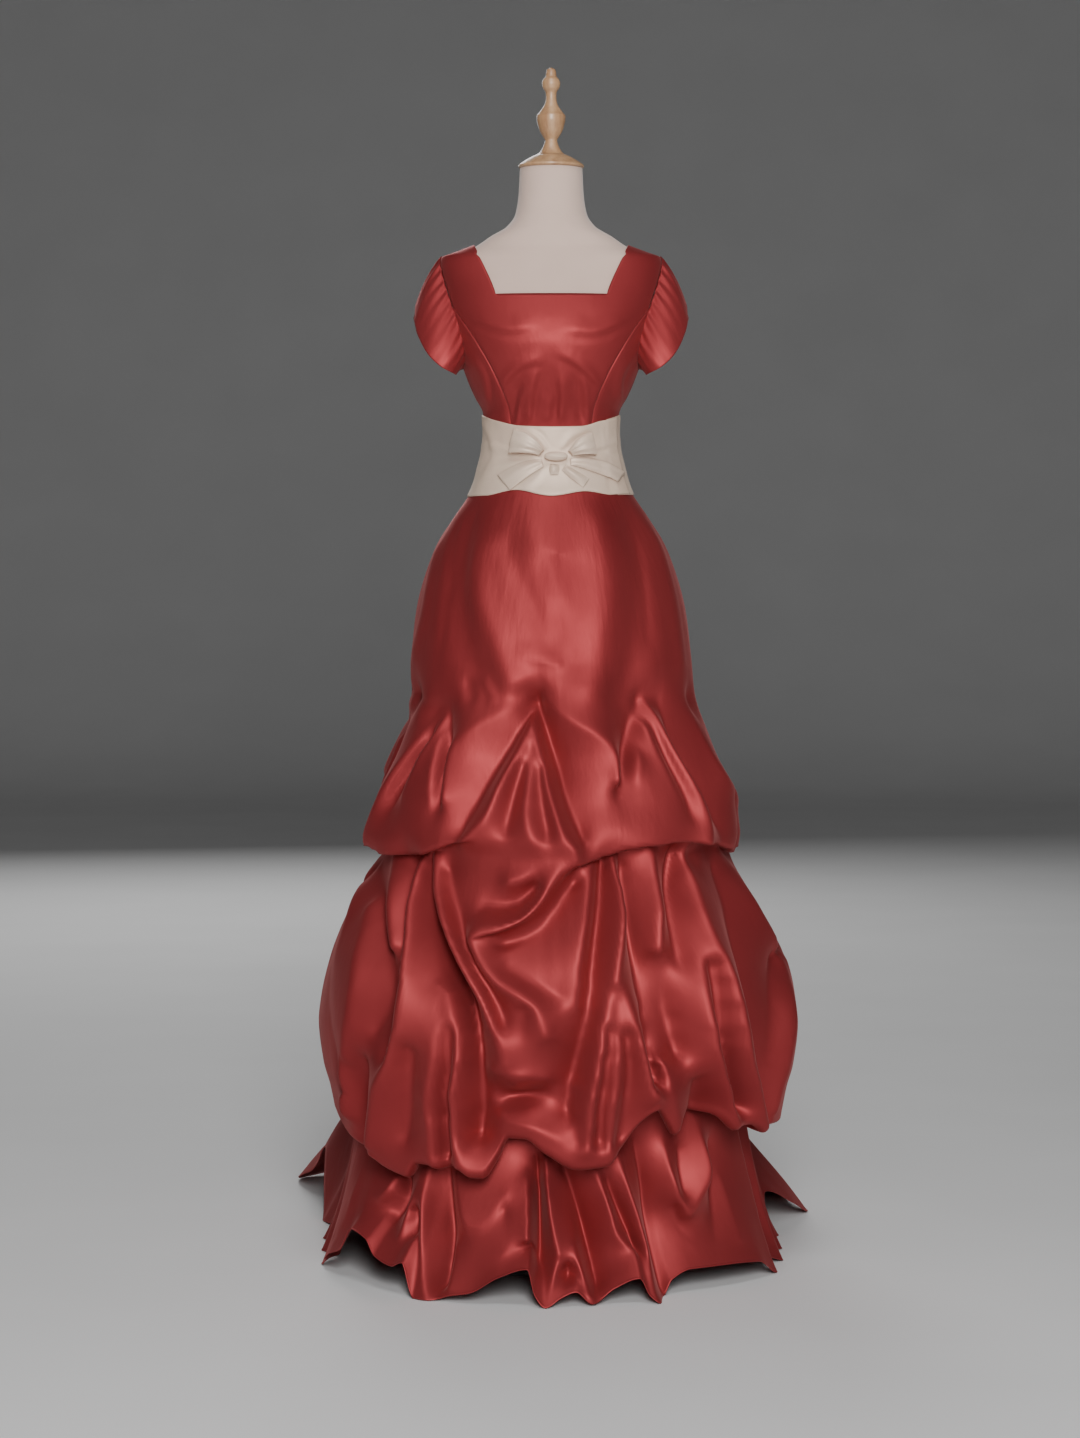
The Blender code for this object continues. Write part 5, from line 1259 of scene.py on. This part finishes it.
def ring_ellipse(angle):
    """The seam between overskirt and flounce, an ellipse with a deeper back."""
    half, front, back = RING
    turn = np.radians(angle)
    depth = np.where(np.cos(turn) > 0, front, back)
    return np.stack([half * np.sin(turn), -depth * np.cos(turn)], -1)


def skirt_grid(angles):
    """Rows down the bell to the lower edge, round its roll, and up inside to the seam ring."""
    edge = smooth_table((angles + 180) % 360 - 180, SKIRT_EDGE)[0] + ROLL
    bell = np.linspace(SKIRT_TOP, TIER_FROM, TOP_ROWS)[:-1]
    tiers = np.linspace(TIER_FROM, EDGE_FROM, UPPER_ROWS)
    share = np.linspace(0, 1, LOWER_ROWS + 1)[1:, None]
    level = np.concatenate([bell, tiers])[:, None] * np.ones(len(angles))
    height = np.concatenate([level, EDGE_FROM + (edge - EDGE_FROM)[None] * share])
    turn = np.broadcast_to((angles + 180) % 360 - 180, height.shape)
    base = trunk_point(turn, height)
    radius = np.hypot(base[..., 0], base[..., 1])
    fold = fold_relief(turn, height)
    out, down = lip_relief(turn, height, radius, fold)
    relief = fold + bell_relief(turn, height, radius) + stitch_relief(turn, height, radius) + out
    relief = relief * np.clip((RELIEF_END - height) / RELIEF_FADE, 0, 1)
    away = unit(base * FLAT)
    grid = base + away * relief[..., None] - down[..., None] * np.array([0, 0, 1])
    last, side = grid[-1], away[-1]
    arc = np.linspace(0, np.pi, ROLL_ROWS + 1)[1:, None, None]
    roll = last[None] + side[None] * ROLL * (np.cos(arc) - 1) - np.array([0, 0, 1]) * ROLL * np.sin(arc)
    ring = ring_ellipse(turn[-1])
    inner = np.concatenate([ring + unit(ring) * LAP, np.full((len(angles), 1), SEAM_RING)], axis=1)
    up = np.linspace(0, 1, HIDDEN_ROWS + 1)[1:, None, None]
    return np.concatenate([grid, roll, roll[-1][None] * (1 - up) + inner[None] * up])


SKIRT_PARTS = {
    "overskirt_front": (-SIDE_SEAM, SIDE_SEAM, 249, (1.35, 1.35)),
    "overskirt_back_left": (SIDE_SEAM, 180.0, 111, (0.72, 1.35)),
    "overskirt_back_right": (180.0, 360 - SIDE_SEAM, 111, (0.72, 1.35)),
}
for name, (first, last, columns, flat) in SKIRT_PARTS.items():
    grid = skirt_grid(np.linspace(first + SEAM_MARGIN, last - SEAM_MARGIN, columns))
    outward = unit(grid * FLAT)
    piece = cloth(name + "_cloth", grid, outward, dress_satin, SKIRT_CLOTH)
    wear(piece)

# %% [markdown]
# ## Flounce
# The flounce is a deep gathered band sewn under the overskirt. It stands in soft uneven pleats that open
# towards the hem, touches the floor in front and trails behind as a short train. Each column is a curve
# from the seam ring down to the hem. Its folds are a pinned sheet too: placed lines in front, and pleats
# by rule at the sides and behind.

# %% Flounce hem: angle, radius; then pleats behind: crest angle, stand-out, lift of the next valley
FLOUNCE_HEM = [
    (-180, 0.780),
    (-163, 0.795),
    (-152, 0.785),
    (-146, 0.755),
    (-139, 0.600),
    (-125, 0.430),
    (-110, 0.365),
    (-90, 0.340),
    (-60, 0.342),
    (-30, 0.340),
    (0, 0.338),
    (30, 0.340),
    (60, 0.342),
    (90, 0.340),
    (108, 0.355),
    (119, 0.400),
    (130, 0.535),
    (143, 0.650),
    (156, 0.730),
    (168, 0.765),
    (180, 0.780),
]
PLEATS = [
    (-176, 0.024, 0.010),
    (-163, 0.030, 0.012),
    (-147, 0.032, 0.100),
    (-127, 0.024, 0.014),
    (-111, 0.024, 0.008),
    (-97, 0.020, 0.004),
    (-81, 0.018, 0.010),
    (71, 0.018, 0.014),
    (85, 0.022, 0.005),
    (99, 0.026, 0.008),
    (113, 0.030, 0.060),
    (130, 0.026, 0.012),
    (143, 0.028, 0.010),
    (156, 0.024, 0.010),
    (169, 0.028, 0.010),
]
# Fold lines in front: height at start, middle and end in millimetres, then places in the picture
FLOUNCE_FOLDS = [
    ((6, 14, 12), (358, 1168), (352, 1200), (345, 1230), (333, 1256)),
    ((2, 8, 6), (383, 1195), (378, 1212), (368, 1228)),
    ((6, 12, 10), (412, 1182), (408, 1200), (400, 1230), (393, 1262)),
    ((4, 18, 20), (419, 1170), (417, 1200), (418, 1240), (423, 1280), (430, 1305)),
    ((4, 14, 10), (446, 1180), (449, 1200), (455, 1225), (466, 1240), (480, 1236), (491, 1224),
     (502, 1208)),
    ((2, 10, 14), (447, 1255), (449, 1280), (447, 1300)),
    ((6, 12, 14), (500, 1225), (503, 1280)),
    ((4, 16, 22), (524, 1190), (527, 1230), (528, 1270)),
    ((4, 20, 18), (543, 1165), (546, 1200), (552, 1240), (558, 1268)),
    ((16, 18, 22), (555, 1275), (549, 1300), (543, 1318)),
    ((10, 14, 18), (575, 1262), (583, 1285), (592, 1309)),
    ((4, 14, 10), (595, 1175), (605, 1195), (613, 1220), (620, 1250), (636, 1276)),
    ((6, 22, 24), (621, 1157), (630, 1190), (640, 1225), (648, 1260), (652, 1300), (656, 1313)),
    ((4, 14, 8), (674, 1155), (678, 1180), (684, 1205), (697, 1232)),
    ((4, 20, 8), (700, 1120), (708, 1150), (712, 1180), (706, 1210), (699, 1232)),
    ((2, 6, 8), (733, 1190), (745, 1260)),
    ((-4, -8, -4), (338, 1165), (334, 1200), (330, 1235)),
    ((-10, -22, -16), (390, 1180), (385, 1220), (377, 1245)),
    ((-2, -6, -4), (405, 1225), (406, 1262)),
    ((-12, -20, -14), (433, 1178), (434, 1220), (438, 1260), (438, 1298)),
    ((-14, -24, -18), (535, 1170), (536, 1220), (536, 1280)),
    ((-12, -24, -16), (563, 1175), (576, 1205), (590, 1245), (601, 1300)),
    ((4, -4, -8), (567, 1280), (569, 1298)),
    ((-2, -8, -8), (612, 1190), (627, 1228), (641, 1264)),
    ((-14, -26, -18), (648, 1150), (661, 1200), (668, 1260), (673, 1302)),
    ((-6, -6, -2), (692, 1155), (695, 1205)),
    ((-6, -12, -8), (688, 1222), (698, 1250), (709, 1272)),
    ((-6, -8, -4), (722, 1150), (726, 1200), (728, 1262)),
]
# Hem of the front as the picture shows it
HEM_PLACES = [
    (335, 1258), (345, 1254), (360, 1232), (372, 1242), (378, 1260), (395, 1270), (408, 1266), (416, 1303),
    (430, 1308), (450, 1301), (470, 1298), (500, 1281), (528, 1272), (535, 1300), (545, 1318), (560, 1303),
    (575, 1297), (592, 1310), (615, 1294), (636, 1282), (646, 1300), (656, 1313), (673, 1305), (682, 1288),
    (700, 1276), (730, 1270), (755, 1266),
]
FLOOR_GAP, FLOUNCE_ROWS, FRONT_HEM_RADIUS, NARROWER = 0.0015, 64, 0.350, 0.07
TRAIL_FROM, TRAIL_SPAN = 0.35, 0.40  # hem radius where the train begins, and how much more makes it whole
BEND_OUT, BEND_UP = (0.28, 0.20), (0.11, 0.085)  # a column's middle point, and how far the train lowers it
FOLD_ROWS, FOLD_COLUMNS, FOLD_CELL = 96, 720, (0.0032, 0.0040)
# Folds that stand up towards the train's two tips: angle at the seam ring and at the hem, spread, rise
TIPS = [(-128, -141, 11, 0.100), (130, 130, 7, 0.045)]
FLOUNCE_GAIN, GAIN_TO = 1.3, 75  # folds in front of this angle are made taller
VALLEY = [(0.27, 0.35), (0.52, 1.0), (0.77, 0.45)]  # hem between two pleats: share of gap, share of lift


def flounce_depth(x, height):
    """Angle and y of a cone that narrows from the hem to the seam ring, where it has this x."""
    radius = FRONT_HEM_RADIUS - NARROWER * np.clip(height, 0, SEAM_RING) / SEAM_RING
    y = -np.sqrt(np.clip(radius**2 - x**2, 0.0004, None))
    return np.degrees(np.arctan2(x, -y)), y


def share_down(height):
    """Share of the way down a front column: the root of 0.33 - 0.44 s + 0.11 s squared = height."""
    return (0.44 - np.sqrt(0.1936 - 0.44 * (SEAM_RING - np.clip(height, 0, SEAM_RING)))) / 0.22


def flounce_sheet():
    """The pinned sheet of the flounce, over angle and share of the way down, softened."""
    lines, random = [], np.random.default_rng(11)
    for heights, *places in FLOUNCE_FOLDS:
        turn, height, rise = line_steps(carry(places, flounce_depth), heights)
        lines.append((turn, share_down(height), rise))
    for (angle, out, _), (after, next_out, _) in zip(PLEATS, PLEATS[1:] + PLEATS[:1]):
        gap = (after - angle) % 360
        wander = random.uniform(-3, 3)
        tall = out * 1000
        route = [(angle + wander, 0.05), (angle - 0.5 * wander, 0.55), (angle, 1.0)]
        lines.append(line_steps(route, (2, 0.6 * tall, tall)))
        if gap < 30:
            low = -320 * (out + next_out)
            middle = angle + 0.52 * gap
            route = [(middle - wander, 0.08), (middle + 0.4 * wander, 0.6), (middle, 1.0)]
            lines.append(line_steps(route, (-3, low, low)))
            if gap > 11:
                side = angle + 0.78 * gap
                route = [(side, 0.45), (side + 1, 0.75), (side - 1, 1.0)]
                lines.append(line_steps(route, (0, 4, 5)))
    around = np.linspace(-180, 180, FOLD_COLUMNS * 2, endpoint=False)
    lines.append((around, 0 * around + 0.004, 0 * around))
    cells = [(down * (FOLD_ROWS - 1), (turn + 180) / 360 * FOLD_COLUMNS, rise) for turn, down, rise in lines]
    level = pinned_sheet(FOLD_ROWS, FOLD_COLUMNS, cells, *FOLD_CELL)
    return soften(np.repeat(np.repeat(level, 2, axis=0), 2, axis=1), SOFT_PASSES)


FLOUNCE_SHEET = flounce_sheet()
print("flounce folds from", round(FLOUNCE_SHEET.min() * 1000), "to", round(FLOUNCE_SHEET.max() * 1000), "mm")

# %% Flounce surface


def hem_lifts():
    """Angle and lift of the hem: as placed in front, and up between the pleats elsewhere."""
    front = carry(HEM_PLACES, flounce_depth)
    rows = [(turn, max(height - FLOOR_GAP, 0.0)) for turn, height in front.tolist()]
    for (angle, _, lift), (after, _, _) in zip(PLEATS, PLEATS[1:] + PLEATS[:1]):
        gap = (after - angle) % 360
        rows.append((angle, 0.0))
        if gap < 30:
            rows += [(angle + part * gap, up * lift) for part, up in VALLEY]
    rows = sorted((angle - 360 if angle > 180 else angle, lift) for angle, lift in rows)
    return [(a - 360, up) for a, up in rows[-3:]] + rows + [(a + 360, up) for a, up in rows[:3]]


def flounce_grid(angles):
    """A parabola from the ring to the hem at each angle, out with its folds and up at its hem."""
    turn = (angles + 180) % 360 - 180
    lift = smooth_table(turn, hem_lifts())[0]
    direction = np.stack([np.sin(np.radians(turn)), -np.cos(np.radians(turn))], -1)
    half, front, back = RING
    depth = np.where(np.cos(np.radians(turn)) > 0, front, back)
    top = 1 / np.hypot(direction[:, 0] / half, direction[:, 1] / depth)
    hem = smooth_table(turn, FLOUNCE_HEM)[0]
    trail = np.clip((hem - TRAIL_FROM) / TRAIL_SPAN, 0, 1)
    control_radius = top + (hem - top) * (BEND_OUT[0] - BEND_OUT[1] * trail)
    control_height = BEND_UP[0] - BEND_UP[1] * trail
    share = np.linspace(0, 1, FLOUNCE_ROWS)[:, None]
    radius = top * (1 - share) ** 2 + control_radius * 2 * share * (1 - share) + hem * share**2
    height = SEAM_RING * (1 - share) ** 2 + control_height * 2 * share * (1 - share)
    column = np.broadcast_to((turn + 180) / 360 * FOLD_COLUMNS * 2, height.shape)
    fold = read_sheet(FLOUNCE_SHEET, share * (2 * FOLD_ROWS - 1) * np.ones(len(turn)), column)
    radius = radius + fold * np.where(np.abs(turn) < GAIN_TO, FLOUNCE_GAIN, 1)
    height = np.maximum(height, FLOOR_GAP) + lift * share**2
    for first, last, spread, rise in TIPS:
        aside = turn - (first + (last - first) * share)
        hill = 27 / 4 * share**2 * (1 - share)  # reaches 1 two thirds of the way down
        height = height + rise * hill * np.exp(-((aside / spread) ** 2))
    return np.concatenate([direction[None] * radius[..., None], height[..., None]], axis=-1)


FLOUNCE_PARTS = {
    "flounce_front": (-SIDE_SEAM, SIDE_SEAM, 561, (1.55, 0.36)),
    "flounce_back_left": (SIDE_SEAM, 180.0, 301, (0.90, 0.45)),
    "flounce_back_right": (180.0, 360 - SIDE_SEAM, 301, (0.90, 0.45)),
}
for name, (first, last, columns, flat) in FLOUNCE_PARTS.items():
    grid = flounce_grid(np.linspace(first + SEAM_MARGIN, last - SEAM_MARGIN, columns))
    outward = unit(grid * FLAT + np.array([0, 0, 0.2]))
    piece = cloth(name + "_cloth", grid, outward, dress_satin, SKIRT_CLOTH)
    wear(piece)

# %% [markdown]
# ## Dress form
# The form is foam under pale jersey, with a straight neck. Only its neck and shoulders show. It is the
# solid's own table read at many more places, with the fine ribs of knitted jersey as a bump.

# %% Jersey, wood and steel


def jersey():
    """Knit: wales as fine ribs round the form, with faint soiling."""
    material, tree, shader = new_material("form_jersey")
    place = tree.nodes.new("ShaderNodeTexCoord").outputs["Object"]
    pale, dark = linear(216, 190, 175), linear(204, 176, 162)
    vary(tree, noise(tree, place, 6.0, 3.0), dark, pale, shader.inputs["Base Color"])
    knit = noise(tree, place, 700.0, 1.0, stretch=(1, 1, 0.4))
    tree.links.new(bump(tree, knit, 0.0002, 0.6), shader.inputs["Normal"])
    settle(shader, Roughness=0.85, Sheen_Weight=0.3)
    return material


def turned_wood():
    """Pale wood: long grain up the piece, with finer pores, under a satin varnish."""
    material, tree, shader = new_material("form_wood")
    place = tree.nodes.new("ShaderNodeTexCoord").outputs["Object"]
    grain = noise(tree, place, 90.0, 5.0, stretch=(1, 1, 0.08), roughness=0.6)
    stops = [(0.30, linear(160, 118, 84)), (0.52, linear(186, 146, 108)), (0.72, linear(198, 160, 123))]
    tree.links.new(ramp(tree, grain, stops), shader.inputs["Base Color"])
    tree.links.new(bump(tree, grain, 0.0002, 0.4), shader.inputs["Normal"])
    settle(shader, Roughness=0.38, Coat_Weight=0.3, Coat_Roughness=0.25)
    return material


def stand_steel():
    """Dark lacquered steel with a fine uneven skin."""
    material, tree, shader = new_material("stand_steel")
    place = tree.nodes.new("ShaderNodeTexCoord").outputs["Object"]
    skin = noise(tree, place, 240.0, 3.0)
    vary(tree, skin, grey(0.28), grey(0.42), shader.inputs["Roughness"])
    tree.links.new(bump(tree, skin, 0.0001, 0.5), shader.inputs["Normal"])
    settle(shader, Base_Color=linear(120, 120, 122), Metallic=0.9)
    return material


form_jersey, form_wood, steel = jersey(), turned_wood(), stand_steel()
for name in ("form_pole", "form_base"):
    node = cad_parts[name]
    node.data.materials.clear()
    node.data.materials.append(steel)
print("finishes:", form_jersey.name, form_wood.name, steel.name)

# %% Form: height, half width, front depth, back depth, roundness
FORM = [
    (1.679, 0.0480, 0.046, 0.050, 1.0),
    (1.640, 0.0500, 0.048, 0.053, 1.0),
    (1.609, 0.0550, 0.052, 0.058, 0.98),
    (1.590, 0.0680, 0.056, 0.062, 0.95),
    (1.575, 0.0930, 0.057, 0.063, 0.90),
    (1.5585, 0.1180, 0.0600, 0.0660, 0.90),
    (1.5470, 0.147, 0.0655, 0.0725, 0.90),
    (1.5395, 0.159, 0.0695, 0.0765, 0.90),
    (1.525, 0.1605, 0.0775, 0.0815, 0.90),
    (1.500, 0.158, 0.092, 0.089, 0.90),
    (1.470, 0.157, 0.106, 0.093, 0.90),
    (1.440, 0.149, 0.115, 0.094, 0.90),
    (1.410, 0.141, 0.119, 0.093, 0.90),
    (1.380, 0.132, 0.115, 0.090, 0.90),
    (1.350, 0.120, 0.106, 0.086, 0.90),
    (1.330, 0.111, 0.098, 0.082, 0.90),
    (1.304, 0.0990, 0.087, 0.078, 0.92),
    (1.274, 0.0980, 0.081, 0.076, 0.94),
    (1.250, 0.0995, 0.081, 0.078, 0.95),
    (1.220, 0.106, 0.086, 0.086, 0.96),
    (1.190, 0.113, 0.092, 0.097, 0.97),
    (1.140, 0.127, 0.099, 0.110, 1.0),
    (1.060, 0.150, 0.106, 0.125, 1.0),
    (0.980, 0.155, 0.102, 0.120, 1.0),
    (0.930, 0.150, 0.096, 0.115, 1.0),
]
FORM_INSET, FORM_ROWS, SHARP = 0.0003, 260, math.radians(40)


def turned_body(name, grid, finish):
    """A closed body round the axis, with its sharp edges kept."""
    obj = closed_body(name, grid, grid * FLAT, finish)
    obj.data.set_sharp_from_angle(angle=SHARP)
    return obj


levels = np.linspace(FORM[0][0], FORM[-1][0], FORM_ROWS)
turns = np.arange(-180, 180, 2.5)
form_grid = ring_point(np.broadcast_to(turns, (FORM_ROWS, len(turns))), levels[:, None], FORM)
form_grid = form_grid - unit(form_grid * FLAT) * FORM_INSET
form = turned_body("form_torso_jersey", form_grid, form_jersey)
declare(form, "form_torso")
print("form", round(FORM[0][0] - FORM[-1][0], 3), "m tall")

# %% [markdown]
# ## Turned wood
# The neck cap is a domed disc with a rounded edge and the finial is one spindle with three swellings.
# A turning is a table of heights and radii carried round the axis.

# %% Cap and finial: height, radius
CAP = [
    (1.6793, 0.0460),
    (1.6800, 0.0490),
    (1.6815, 0.0503),
    (1.6838, 0.0500),
    (1.6862, 0.0470),
    (1.6900, 0.0410),
    (1.6940, 0.0345),
    (1.6970, 0.0290),
    (1.6993, 0.0235),
]
FINIAL = [
    (1.6996, 0.0225),
    (1.7030, 0.0178),
    (1.7080, 0.0142),
    (1.7156, 0.0108),
    (1.7217, 0.0093),
    (1.7260, 0.0115),
    (1.7310, 0.0148),
    (1.7356, 0.0172),
    (1.7433, 0.0198),
    (1.7530, 0.0219),
    (1.7590, 0.0220),
    (1.7615, 0.0200),
    (1.7664, 0.0162),
    (1.7741, 0.0110),
    (1.7802, 0.0088),
    (1.7879, 0.0080),
    (1.7941, 0.0084),
    (1.8018, 0.0129),
    (1.8080, 0.0141),
    (1.8141, 0.0121),
    (1.8190, 0.0082),
    (1.8240, 0.0077),
    (1.8285, 0.0068),
    (1.8321, 0.0010),
]


def turning(profile, sides):
    """Each radius times the cosine and sine of the turn, at its height."""
    turn = np.linspace(0, 2 * np.pi, sides, endpoint=False)[None]
    heights, radii = np.array(profile, float).T[..., None]
    return np.stack(np.broadcast_arrays(radii * np.cos(turn), radii * np.sin(turn), heights), -1)


fine = np.linspace(FINIAL[0][0], FINIAL[-1][0], 160)
spindle = np.column_stack([fine, smooth_table(fine, FINIAL)[0]])
for node, profile, sides in (("form_neck_cap", CAP, 96), ("form_finial", spindle, 64)):
    declare(turned_body(node + "_wood", turning(profile, sides), form_wood), node)
print("finial top at", FINIAL[-1][0], "m")

# %% [markdown]
# ## Studio
# The floor is a plain pale sheet that curves up far behind. One tall soft light stands behind the camera
# and shines over it, so that cloth that faces the eye is bright and flanks that turn away are deep, as in
# the picture. A weak one fills from the right, a small one from above lights neck and sleeves, and a broad
# one far behind shows the train.

# %% Floor and lights
LIGHTS = {
    "key": ((0.25, -5.5, 2.5), (0.0, 0.0, 0.75), (1.3, 2.7), 285.0),
    "fill": ((2.6, -4.2, 1.9), (0.0, 0.0, 0.8), (2.4, 2.4), 6.0),
    "top": ((0.0, -1.9, 4.1), (0.0, 0.0, 1.45), (1.6, 1.2), 36.0),
    "back": ((-1.2, 6.0, 3.4), (0.0, 0.0, 0.8), (3.0, 3.0), 120.0),
}
RISE_FROM, RISE = 10.0, 0.22
across, along = np.meshgrid(np.linspace(-16, 16, 9), np.linspace(-12, 16, 57))
rise = np.clip(along - RISE_FROM, 0, 6) ** 2 * RISE
floor = mesh_object("floor", np.stack([across, along, rise], -1).reshape(-1, 3), grid_faces(57, 9)[:, ::-1])
floor_finish, floor_tree, floor_shader = new_material("floor_paper")
floor_place = floor_tree.nodes.new("ShaderNodeTexCoord").outputs["Object"]
floor_mottle = noise(floor_tree, floor_place, 2.0)
vary(floor_tree, floor_mottle, grey(0.78), grey(0.81), floor_shader.inputs["Base Color"])
settle(floor_shader, Roughness=0.9)
floor.data.materials.append(floor_finish)
for name, (place, target, size, watts) in LIGHTS.items():
    light = bpy.data.lights.new(name, "AREA")
    light.shape, light.size, light.size_y, light.energy = "ELLIPSE", *size, watts
    lamp = bpy.data.objects.new(name, light)
    lamp.location = place
    aim(lamp, target)
    bpy.context.scene.collection.objects.link(lamp)
world = bpy.data.worlds.new("studio")
world.use_nodes = True
settle(world.node_tree.nodes["Background"], Color=grey(1.0), Strength=0.06)
bpy.context.scene.world = world
print("lights:", ", ".join(LIGHTS))
